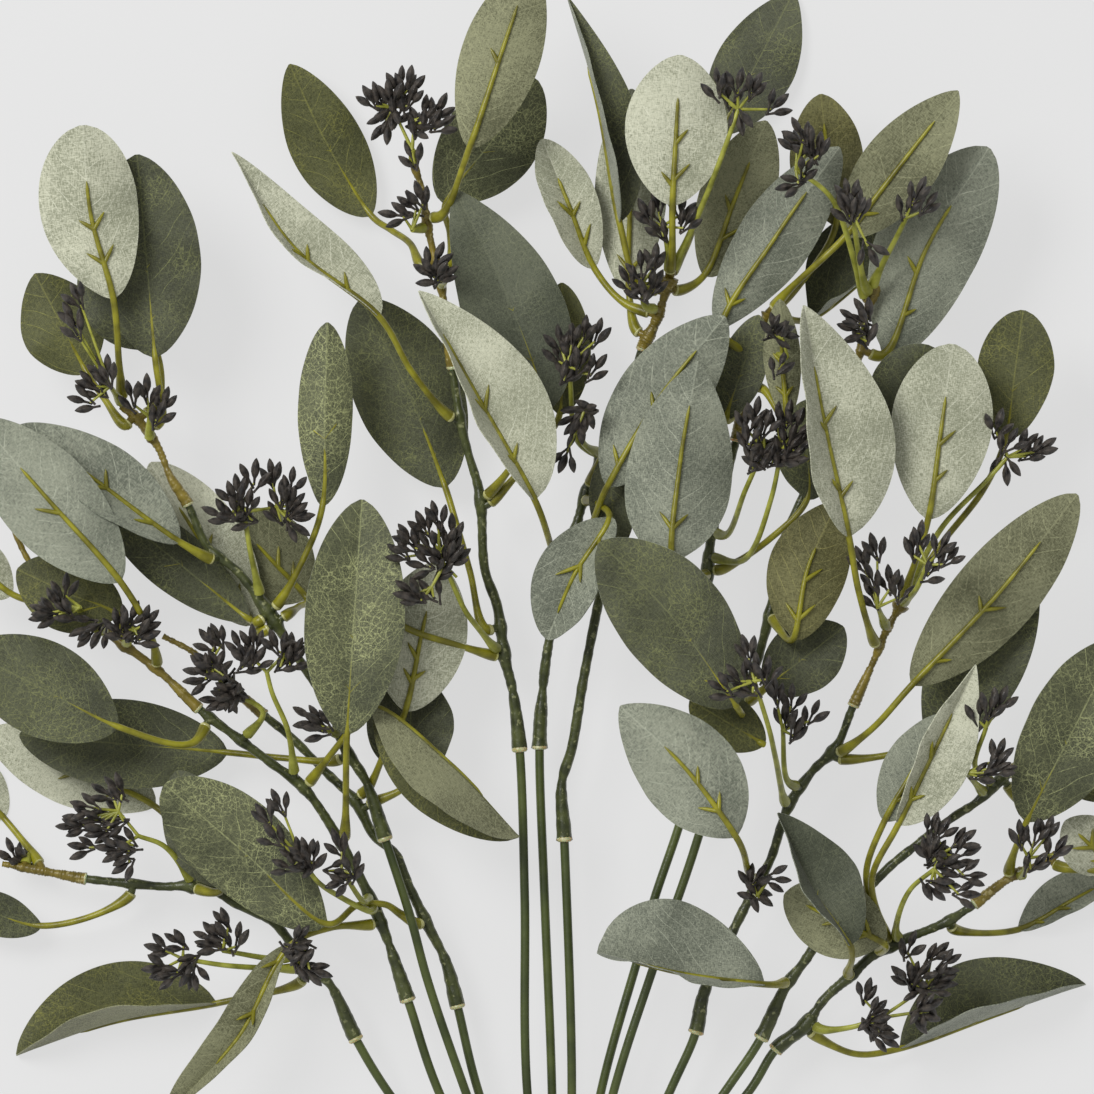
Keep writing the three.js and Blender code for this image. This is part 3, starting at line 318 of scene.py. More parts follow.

# ---- The leaves ------------------------------------------------------------------------------------------
# A blade is printed and coated woven cloth: dark green with a pale net of veins on its front, and a pale
# back. It is glued to a moulded petiole, which starts as a sleeve over a peg of the branch and runs on
# along the blade's back as a midrib with short side ribs.

# Each row: name, sprig, base, tip, width as seen from above, height of the blade's middle, the side that
# faces up (F or B), the cloth's tone, which is partly painted shade, bow to the left and the petiole's way
# from the stem. Some rows also give the degrees by which the left and the right half are turned up about
# the midrib (or None, to draw them at random) and the share of the way where the blade is widest.
LEAVES = [
    ("1", "03c", (-173, 99), (-185, 168), 40, 62, "B", "pale", 3, ((-171, 73),), None, 0.56),
    ("2", "03c", (-157, 76), (-164, 157), 44, 46, "F", "dark", 0, ((-155, 51),)),
    ("2b", "03c", (-157, 79), (-187, 112), 25, 39, "F", "dark", 0, ((-156, 58),)),
    ("3", "03c", (-185, 70), (-206, 110), 34, 32, "F", "olive", 0, ((-169, 49, 43), (-178, 60, 37)),
     None, 0.47),
    ("4", "05c", (-71, 134), (-104, 195), 30, 12, "F", "olive", 2, ((-50, 113, 39), (-55, 122, 30),
     (-63, 128, 18)), None, 0.47),
    ("5", "05b", (-67, 92), (-126, 158), 17, 50, "B", "pale", 7, ((-38, 52), (-54, 70)), (84, 8), 0.4),
    ("6", "05a", (-41, 24), (-75, 100), 44, 21, "F", "dark", -2, ((-25, -33, 28), (-31, -10, 25),
     (-37, 11, 22))),
    ("7", "05c", (-31, 159), (-6, 233), 32, 62, "B", "olivegrey", 0, ((-42, 133),)),
    ("8", "05c", (-41, 138), (-4, 188), 38, 26, "F", "strong", 0, ((-39, 114, 38), (-39, 126, 30))),
    ("9", "05b", (-2, 54), (-37, 143), 40, 50, "F", "bluish", -4, ((-25, 20), (-11, 37)), None, 0.43),
    ("10", "05b", (5, 53), (6, 106), 24, 36, "F", "olive", 0, ((-24, 17), (-1, 43))),
    ("11", "06a", (-5, 19), (-51, 102), 30, 72, "B", "pale", 0, ((4, -5),), (78, 8), 0.42),
    ("12", "07a", (19, 112), (-2, 164), 20, 36, "B", "pale", 0, ((31, 98),), (48, 14), 0.5),
    ("13", "07a", (29, 130), (8, 221), 15, 50, "F", "dark", -2, ((37, 105),), (108, 8), 0.36),
    ("14", "07a", (33, 102), (34, 184), 29, 34, "B", "pale", 0, ((36, 87),)),
    ("15", "07b", (50, 136), (53, 196), 41, 64, "B", "pale", 0, ((50, 119),), None, 0.52),
    ("16", "07b", (70, 167), (100, 225), 32, 3.4, "F", "dark", 0, ((57, 123), (64, 147)), None, 0.46),
    ("17", "07b", (63, 109), (88, 171), 30, 36, "B", "olivegrey", 0, ((53, 103),)),
    ("18", "08c", (116, 129), (110, 182), 30, 30, "B", "olive", 0, ((101, 105),)),
    ("19", "08c", (119, 124), (164, 182), 30, 56, "B", "olivegrey", 0, ((97, 103), (111, 116)), None,
     0.46),
    ("20", "08b", (70, 87), (117, 160), 30, 46, "B", "bluegrey", 2, ((78, 79),)),
    ("20b", "08b", (72, 51), (85, 93), 19, 42, "F", "dark", 0, ((78, 57),)),
    ("21", "06b", (24, 24), (71, 92), 35, 56, "B", "bluegrey", 3, ((16, 6),)),
    ("22", "08a", (50, -7), (60, 74), 44, 68, "B", "bluegrey", 2, ((61, -11),), None, 0.43),
    ("23", "09a", (75, -63), (21, 2), 42, 78, "F", "dark", -3, ((78, -67),)),
    ("23b", "09a", (87, -79), (57, -61), 22, 58, "F", "olive", 0, ((85, -78),)),
    ("24", "06b", (25, 12), (0, -37), 25, 54, "B", "bluegrey", -2, ((21, 17),), (50, 10), 0.5),
    ("25", "10a", (75, -115), (29, -63), 40, 88, "B", "bluegrey", -3, ((81, -131),), None, 0.46),
    ("26", "11a", (87, -175), (20, -162), 29, 50, "B", "bluegrey", 2, ((97, -175),), (96, 0), 0.6),
    ("27", "09a", (87, -57), (119, -32), 28, 42, "F", "dark", 0, ((81, -62),)),
    ("28", "09b", (98, -37), (116, 18), 32, 54, "B", "olive", 3, ((90, -28),)),
    ("29", "10c", (120, 4), (102, 96), 35, 76, "B", "pale", 1, ((132, -39), (124, -17)), (72, 0), 0.42),
    ("30", "10c", (152, 11), (162, 81), 40, 62, "B", "pale", 0, ((144, -16),), None, 0.55),
    ("31", "09c", (142, 35), (151, 81), 37, 50, "F", "dark", 0, ((128, 59),), None, 0.56),
    ("32", "09c", (135, 77), (177, 160), 42, 40, "B", "bluegrey", 4, ((126, 79),), None, 0.52),
    ("33", "10c", (184, 43), (191, 95), 30, 40, "F", "olive", 0, ((158, 1), (175, 23)), None, 0.55),
    ("34", "08c", (106, 92), (153, 126), 26, 18, "F", "dark", 0, ((89, 94),), (5, 102), 0.5),
    ("35", "08b", (95, 51), (93, 99), 15, 52, "B", "olivegrey", 0, ((87, 63),)),
    ("36", "08a", (104, 19), (104, 59), 25, 50, "F", "dark", 0, ((70, -9), (89, 3))),
    ("37", "10b", (146, -55), (212, 21), 34, 54, "B", "olivegrey", -2, ((116, -83), (130, -73))),
    ("38", "10b", (152, -78), (196, -13), 36, 38, "F", "dark", 0, ((117, -85),), None, 0.46),
    ("39a", "12b", (140, -111), (171, -47), 23, 60, "B", "pale", 0, ((136, -155), (130, -132)),
     (62, 20), 0.4),
    # Leaf 39b fills the place of the shaded left half of leaf 39a: a second blade whose darker blue grey
    # back is painted shade.
    ("39b", "12b", (135, -110), (159, -67), 25, 48, "B", "bluegrey", 0, ((131, -147, 37),
     (128, -130, 43))),
    ("40", "12d", (192, -110), (229, -37), 40, 48, "F", "strong", 0, ((186, -131),)),
    ("41", "12b", (121, -159), (92, -106), 22, 60, "F", "bluish", 2, ((121, -171),), (80, 15), 0.44),
    ("42", "12b", (135, -159), (95, -139), 31, 46, "B", "olivegrey", 0, ((133, -163),)),
    ("43", "12a", (143, -203), (218, -177), 25, 8, "F", "dark", 0, ((108, -197), (125, -205)), (4, 112),
     0.44),
    ("44", "12c", (191, -155), (237, -130), 16, 3.4, "B", "bluegrey", 0, ((164, -154),), (10, 70),
     0.44),
    ("45", "12d", (229, -130), (208, -110), 24, 34, "B", "pale", 0, ((205, -128), (219, -130))),
    ("46", "11b", (211, -98), (237, -85), 24, 22, "F", "olive", 0, ((193, -104),)),
    ("47", "02b", (-80, -75), (-74, 19), 40, 54, "F", "strong", 0, ((-82, -119),)),
    ("48", "03b", (-118, -31), (-160, 34), 34, 22, "B", "pale", 0, ((-114, -34, 38),)),
    ("49", "03b", (-147, 2), (-211, 49), 24, 48, "B", "bluegrey", 0, ((-133, -5),), (60, 8), 0.46),
    ("50", "03b", (-97, -21), (-128, 13), 37, 13, "B", "olivegrey", 0, ((-104, -27, 37),
     (-100, -24, 24))),
    ("51", "03b", (-120, -29), (-180, 19), 25, 30, "F", "dark", 0, ((-116, -30, 39),)),
    ("52", "02d", (-170, -14), (-227, 51), 38, 62, "B", "bluegrey", 0, ((-157, -48), (-159, -34))),
    ("53", "03b", (-90, 16), (-88, 90), 23, 48, "F", "strong", 0, ((-109, -24), (-99, -8)), None, 0.52),
    ("54", "02d", (-172, -28), (-213, -9), 30, 36, "F", "olive", 0, ((-170, -40),)),
    ("55", "02d", (-215, -19), (-242, 3), 22, 32, "B", "pale", 0, ((-187, -26), (-203, -23))),
    ("56", "02c", (-172, -72), (-233, -41), 38, 44, "F", "dark", 0, ((-143, -79),)),
    ("57", "03a", (-129, -83), (-213, -76), 36, 16, "F", "dark", 0, ((-85, -86), (-108, -85))),
    ("58", "01b", (-159, -105), (-227, -75), 30, 3.6, "B", "pale", 0, ((-145, -121),)),
    ("59", "01b", (-131, -138), (-149, -90), 28, 32, "F", "dark", 0, ((-143, -137),)),
    ("60", "04a", (-88, -151), (-153, -95), 38, 46, "F", "strong", 0, ((-52, -152, 21),
     (-59, -148, 21.5), (-65, -144, 26), (-76, -144, 32)), None, 0.56),
    ("61", "02a", (-103, -160), (-153, -228), 14, 38, "B", "olivegrey", 5, ((-70, -152), (-87, -153)),
     (66, 30), 0.5),
    ("62", "01a", (-134, -185), (-215, -206), 24, 3.4, "F", "olive", -3, ((-100, -176),), (112, 4),
     0.48),
    ("63", "01b", (-204, -153), (-243, -143), 18, 16, "F", "dark", 0, ((-168, -140), (-181, -148))),
    ("64", "01c", (-220, -110), (-244, -85), 24, 2.9, "B", "pale", 0, ((-204, -130),)),
    ("65", "02b", (-71, -64), (-11, -116), 23, 46, "F", "olive", 4, ((-97, -97), (-81, -76)), (140, 0),
     0.5),
    ("66", "04b", (-57, -66), (-44, -6), 37, 38, "B", "pale", 0, ((-72, -97, 24.5), (-65, -82, 32))),
    ("67", "04b", (-56, -95), (-54, -49), 34, 26, "F", "dark", 0, ((-70, -103, 22),)),
    ("68", "06b", (24, 38), (28, -2), 18, 44, "F", "dark", 0, ((16, 23),)),
    ("69", "05a", (-59, -31), (-85, -5), 28, 42, "F", "dark", 0, ((-19, -44), (-34, -40))),
]
PETIOLE_RADIUS = 1.2
SLEEVE_RADIUS = 2.15
SLEEVE_LENGTH = 9.0
COLLAR_RADII = [2.0, 2.3, 2.3, 2.1]
PEG_LENGTH = 7.0
CLOTH_THICKNESS = 0.35
BLADE_RISE = 1.5          # of the blade's middle over its two ends
LOW_LEAF = 10             # height under which a tip doesn't curl
TIP_CURL = (-4, 6)
FRONT_TURNS, BACK_TURNS = (-14, 20), (-20, 12)       # of the halves, where a row gives none
EDGE_ON = 0.02
STEEP, STEEP_WIDTH = 0.5, 0.6      # cosine of the turn past which a half is drawn in, and to what share
FLOOR_GAP = 0.2
ACROSS, ALONG = 21, 44             # places across and along a blade
END_GAP = 0.0015
FULL_PLACES, FULL_POWERS = [0.38, 0.5, 0.62], [0.9, 0.6, 0.4]
SWAY, RIPPLE, WEAK_SIDE = 0.06, 0.014, 0.4           # shares of the half width
HANG = (0.02, 0.14)
CLOTH_SPAN = 40
MIDRIB_ENDS = (0.66, 0.8)
MIDRIB_OUT, MIDRIB_IN, MIDRIB_EASE = 0.6, 0.3, 4
TAPER_PLACE, TAPER = 0.97, [1, 0.5, 0.12]
SEAM = 0.1
RIB_PLACES, RIB_SHIFT, RIB_SCATTER = [0.25, 0.6], 0.06, 0.04
RIB_MISSING = 0.25
RIB_LENGTHS, RIB_ROOM, RIB_SLANTS = (4.0, 6.5), 0.24, (0.8, 1.3)
RIB_RADII = [0.95, 0.9, 0.8, 0.62, 0.15]
FRONT, BACK, PETIOLE, COLLAR = range(4)              # the order of a leaf's materials
LEAF_SEED = 100


def lifted(start, way, height, end):
    """The points on the way from a stem to a leaf or head: one with no height of its own is lifted by the
    sine of how far along the way it is."""
    stops = np.array([start[:2], *[p[:2] for p in way], end[:2]])
    gone = np.cumsum(np.linalg.norm(np.diff(stops, axis=0), axis=1))
    rise = start[2] + (height - start[2]) * np.sin(math.pi / 2 * gone[:-1] / gone[-1])
    return [(p[0], p[1], p[2] if len(p) == 3 else z) for p, z in zip(way, rise)]


def joint_on(stem, point):
    """The place on a stem's centreline nearest to a point, seen from above."""
    line = stem_lines[stem]
    return line[nearest(line[:, :2], point[:2])]


def blade_rings(line, width, turned, fullest, rng):
    """The blade as rings: each ring runs over the upper face from the left edge to the right and back under
    it. The half width is half the width times a power of the sine of the share of the way to the tip, bent
    to be widest at the given share. Each half is turned up about the midrib by its own angle, hangs with
    the square of the way from the midrib, and waves with slow sines along the blade."""
    t = np.linspace(0, 1, len(line))
    bend = math.log(0.5) / math.log(fullest)
    power = np.interp(fullest, FULL_PLACES, FULL_POWERS)
    half = width / 2 * np.sin(math.pi * np.clip(t, END_GAP, 1 - END_GAP) ** bend) ** power
    s = np.linspace(-1, 1, ACROSS)
    tangent, side, over = directions(line)
    angle = np.radians(np.select([s < 0, s > 0], turned, 0.0))
    phases = rng.uniform(0, 2 * math.pi, 4)

    def sine(turns, phase):
        return np.sin(2 * math.pi * turns * t + phase)[:, None]

    wave = (SWAY * sine(1.3, phases[0]) * np.where(s > 0, 1, WEAK_SIDE)
            + SWAY * sine(1.1, phases[1]) * np.where(s < 0, 1, WEAK_SIDE)
            + RIPPLE * sine(4.3, phases[2]) * np.sign(s)) * s ** 2
    hang = rng.uniform(*HANG) * s ** 2
    steep = (np.cos(angle) < STEEP) & (np.cos(angle) > -STEEP / 2)
    out = half[:, None] * s * np.where(steep, STEEP_WIDTH, 1.0)
    bulge = half[:, None] * (wave - hang)
    reach = out * np.cos(angle) - bulge * np.sign(s) * np.sin(angle)
    lift = np.abs(out) * np.sin(angle) + bulge * np.cos(angle)
    upper = line[:, None] + side[:, None] * reach[..., None] + over[:, None] * lift[..., None]
    upper[..., 2] = np.maximum(upper[..., 2], FLOOR_GAP + CLOTH_THICKNESS)
    level, steeply = np.cos(angle)[:, None], (np.sin(angle) * np.sign(s))[:, None]
    turned_side = side[:, None] * level + over[:, None] * steeply
    lower = upper - np.cross(turned_side, tangent[:, None]) * CLOTH_THICKNESS
    notes = np.zeros((*upper.shape[:2], 3))
    notes[..., 0] = lengths(line)[:, None]
    notes[..., 1] = out
    notes[..., 2] = rng.uniform(0, CLOTH_SPAN)
    return np.hstack([upper, lower[:, ::-1]]), np.hstack([notes, notes[:, ::-1]])


WARP = 11.0                                          # how far the print wanders, in millimetres
VEIN_STAGGER, VEIN_BEND, VEIN_SLANT = 0.22, 1.35, 0.42
VEIN_EDGE, MIDRIB_EDGE = (0.08, 0.28), (0.15, 0.5)   # from full strength to nothing
COARSE_NET, FINE_NET = (0.4, 0.015, 0.1, 1.0), (1.25, 0.02, 0.12, 0.7)    # scale, edge, strength
THREADS = (0.6, 4.4)                                 # noise scales along and across a thread


def cloth(name, dark, light, vein, veins, net, grain, roughness, vein_step=9.0):
    """Printed woven cloth. The note on each point gives millimetres along and across the blade. Side veins
    are thin lines at equal steps of the way along less a share of the way across; the net is the edges of
    a cell pattern; the weave is two noises, stretched along and across the threads."""
    made, tree, shader, node = material(name, roughness, Specular_IOR_Level=0.3, Sheen_Weight=0.12)
    note = node("Attribute", attribute_name="cloth").outputs["Vector"]

    def calc(operation, *values):
        return node("Math", *values, operation=operation).outputs[0]

    def ramp(value, low, high, first=0.0, last=1.0):
        return node("MapRange", value, low, high, first, last).outputs[0]

    def at_least(least, share):
        return calc("MULTIPLY_ADD", share, 1 - least, least)

    def threads(x, y):
        stretched = node("VectorMath", note, (x, y, 1.0), operation="MULTIPLY").outputs[0]
        return node("TexNoise", stretched, None, 1.0, 1.0).outputs["Fac"]

    def clouds(scale, low, high):
        return ramp(node("TexNoise", note, None, scale, 2.0).outputs["Fac"], low, high)

    def cell_edges(place, scale, low, high, strength):
        cells = node("TexVoronoi", place, None, scale, feature="DISTANCE_TO_EDGE")
        return ramp(cells.outputs["Distance"], low, high, strength, 0.0)

    def mixed(share, first, second):
        new = node("Mix", share, data_type="RGBA")
        for socket, value in (("A", first), ("B", second)):
            if isinstance(value, bpy.types.NodeSocket):
                tree.links.new(value, new.inputs[socket])
            else:
                new.inputs[socket].default_value = value
        return new.outputs["Result"]

    warp = node("TexNoise", note, None, 0.05, 1.0).outputs["Color"]
    shifted = node("VectorMath", warp, (WARP, WARP, 0.0), (-WARP / 2, -WARP / 2, 0.0),
                   operation="MULTIPLY_ADD").outputs[0]
    bent = node("VectorMath", note, shifted, operation="ADD").outputs[0]
    along = node("SeparateXYZ", bent).outputs[0]
    offset = node("SeparateXYZ", note).outputs[1]
    across = calc("ABSOLUTE", offset)
    side = calc("MULTIPLY", calc("SIGN", offset), VEIN_STAGGER)
    curve = calc("MULTIPLY", calc("POWER", across, VEIN_BEND), -VEIN_SLANT)
    step = calc("ADD", calc("DIVIDE", calc("ADD", curve, along), vein_step), side)
    away = calc("ABSOLUTE", calc("SUBTRACT", calc("FRACT", step), 0.5))
    laterals = ramp(calc("MULTIPLY", away, vein_step), *VEIN_EDGE, 1.0, 0.0)
    midrib = ramp(across, *MIDRIB_EDGE, 0.6, 0.0)
    webbed = calc("MAXIMUM", cell_edges(bent, *COARSE_NET), cell_edges(note, *FINE_NET))
    broken = clouds(1.3, 0.42, 0.6)
    webbed = calc("MULTIPLY", webbed, at_least(0.2, clouds(0.05, 0.4, 0.64)))
    webbed = calc("MULTIPLY", webbed, at_least(0.35, broken))
    faded = calc("MULTIPLY", laterals, at_least(0.2, clouds(0.12, 0.38, 0.6)))
    lines = calc("MULTIPLY", calc("MAXIMUM", faded, midrib), at_least(0.5, broken))
    drawn = calc("MAXIMUM", calc("MULTIPLY", lines, veins), calc("MULTIPLY", webbed, net))
    weave = calc("ADD", threads(*THREADS), threads(*THREADS[::-1]))
    speckle = ramp(weave, 0.7, 1.3, -grain, grain)
    # Broad clouds between the dark and the light ground: partly the cloth's own tone, partly painted shade
    # and painted sheen over the blade.
    painted_shade_and_tone = calc("MULTIPLY_ADD", clouds(0.035, 0.32, 0.68), 0.8, 0.1)
    share = node("Math", painted_shade_and_tone, speckle, operation="ADD", use_clamp=True).outputs[0]
    ground = mixed(share, colour(dark), colour(light))
    tree.links.new(mixed(drawn, ground, colour(vein)), shader.inputs["Base Color"])
    height = calc("MULTIPLY_ADD", drawn, 0.6, weave)
    bump = node("Bump", 0.45, 0.0003, None, height)
    tree.links.new(bump.outputs[0], shader.inputs["Normal"])
    return made


# Each cloth: its ground's dark and light tone and its veins' tone, the strength of veins, net and grain,
# the roughness, and for a back the step between side veins. The cloths differ partly in the leaves' own
# tone and partly as painted shade: lighter and darker copies of one front or back cloth stand for leaves
# that are more or less lit.
BACK_STEP = 7.0
fronts = {
    "dark": cloth("front dark", (45, 48, 31), (79, 82, 61), (149, 154, 95), 0.55, 0.5, 0.6, 0.54),
    "bluish": cloth("front bluish", (57, 62, 47), (91, 95, 77), (139, 144, 111), 0.35, 0.35, 0.6, 0.56),
    "olive": cloth("front olive", (53, 56, 27), (89, 91, 55), (161, 160, 79), 0.55, 0.5, 0.7, 0.56),
    "strong": cloth("front veined", (47, 51, 32), (83, 86, 61), (183, 188, 131), 0.8, 0.7, 0.6, 0.54),
}
backs = {
    "pale": cloth("back pale", (129, 132, 109), (191, 192, 169), (215, 216, 195),
                  0.85, 0.5, 0.75, 0.64, BACK_STEP),
    "bluegrey": cloth("back blue grey", (89, 94, 81), (143, 147, 129), (181, 185, 165),
                      0.85, 0.45, 0.75, 0.64, BACK_STEP),
    "olivegrey": cloth("back olive grey", (81, 82, 57), (133, 134, 103), (169, 170, 131),
                       0.8, 0.45, 0.7, 0.64, BACK_STEP),
    "olive": cloth("back olive", (71, 69, 35), (113, 111, 71), (161, 156, 95),
                   0.7, 0.45, 0.7, 0.64, BACK_STEP),
}
UNDER = {"dark": "bluegrey", "bluish": "bluegrey", "strong": "bluegrey", "olive": "olivegrey"}
petiole_plastic = plastic("petiole plastic", (98, 94, 14), (142, 138, 30), 0.36, 130.0)
collar_plastic = plastic("collar plastic", (150, 148, 84), (186, 184, 128), 0.28, 300.0)

pegs = {stem: [] for stem in STEMS}
for number, row in enumerate(LEAVES):
    name, sprig, base, tip, width, height, face, tone_and_painted_shade, bow, way, *shape = row
    turned, fullest = shape or (None, 0.5)
    rng = np.random.default_rng(LEAF_SEED + number)
    stem = sprig[:2]
    start = joint_on(stem, way[0])
    reach = np.array(tip) - np.array(base)
    left = np.array([-reach[1], reach[0]]) / np.linalg.norm(reach)
    middle = (np.array(base) + np.array(tip)) / 2 + left * bow
    curl = 0.0 if height < LOW_LEAF else rng.uniform(*TIP_CURL)
    trail = [start, *lifted(start, way, height, base), (*base, height - BLADE_RISE)]
    whole = smooth_line([*trail, (*middle, height), (*tip, height - BLADE_RISE + curl)], 400)
    base_at = nearest(whole, trail[-1])
    if turned is None:
        turned = rng.uniform(*(FRONT_TURNS if face == "F" else BACK_TURNS), 2)
    full_width = width * 2 / np.maximum(np.cos(np.radians(turned)), EDGE_ON).sum()
    rings, notes = blade_rings(evenly(whole[base_at:], ALONG), full_width, turned, fullest, rng)
    up, down = (FRONT, BACK) if face == "F" else (BACK, FRONT)
    paint = [up] * (ACROSS - 1) + [BACK] + [down] * (ACROSS - 1) + [BACK]
    shells = [shell(rings, paint, notes)]
    cut = np.searchsorted(lengths(whole), PEG_LENGTH * HELD)
    last = base_at + int((len(whole) - base_at) * rng.uniform(*MIDRIB_ENDS))
    stalk = evenly(whole[cut:last], 90)
    gone = lengths(stalk)
    at_base = nearest(stalk, whole[base_at])
    on_blade = np.clip((gone - gone[at_base]) / MIDRIB_EASE, 0, 1)
    lift = on_blade * MIDRIB_OUT if face == "B" else -on_blade * MIDRIB_OUT - MIDRIB_IN
    stalk = stalk + directions(stalk)[2] * lift[:, None]
    taper = np.interp(gone, [gone[at_base], gone[-1] * TAPER_PLACE, gone[-1]], TAPER)
    swell = (SLEEVE_RADIUS - PETIOLE_RADIUS) * np.exp(-(gone / SLEEVE_LENGTH) ** 2)
    shells.append(shell(round_rings(stalk, PETIOLE_RADIUS * taper + swell, 12, SEAM), PETIOLE))
    collar = evenly(whole[max(cut - 2, 0):cut + 3], len(COLLAR_RADII))
    shells.append(shell(round_rings(collar, COLLAR_RADII, 12), COLLAR))
    tangent, side, over = directions(stalk)
    for share in rng.uniform(-RIB_SHIFT, RIB_SHIFT, 2) + RIB_PLACES:
        for turn in (-1, 1):
            if rng.random() < RIB_MISSING:
                continue
            place = share + rng.uniform(-RIB_SCATTER, RIB_SCATTER)
            k = at_base + int((len(stalk) - 1 - at_base) * place)
            out = min(full_width * RIB_ROOM, rng.uniform(*RIB_LENGTHS))
            bank = math.radians(turned[0] if turn < 0 else turned[1])
            spread = side[k] * turn * math.cos(bank) + over[k] * math.sin(bank)
            far = stalk[k] + tangent[k] * out * rng.uniform(*RIB_SLANTS) + spread * out
            rib = evenly(np.array([stalk[k], far]), len(RIB_RADII))
            shells.append(shell(round_rings(rib, RIB_RADII, 8), PETIOLE))
    # The cloth of the side that faces up is picked by its tone, which partly paints the leaf's shade.
    cloths = [fronts[tone_and_painted_shade], backs[UNDER[tone_and_painted_shade]]] if face == "F" else [fronts["dark"], backs[tone_and_painted_shade]]
    piece(f"leaf_{name}", shells, [*cloths, petiole_plastic, collar_plastic], "leaf", f"sprig_{sprig}")
    pegs[stem].append(evenly(whole[:max(cut * 2, 4)], 8))

# ---- The seed heads --------------------------------------------------------------------------------------
# A head is one moulding: an olive stalk that forks into short twigs, and on each twig's end three brown
# black buds with four soft ridges, drawn out to a point. Its sleeve goes over a peg of the branch.

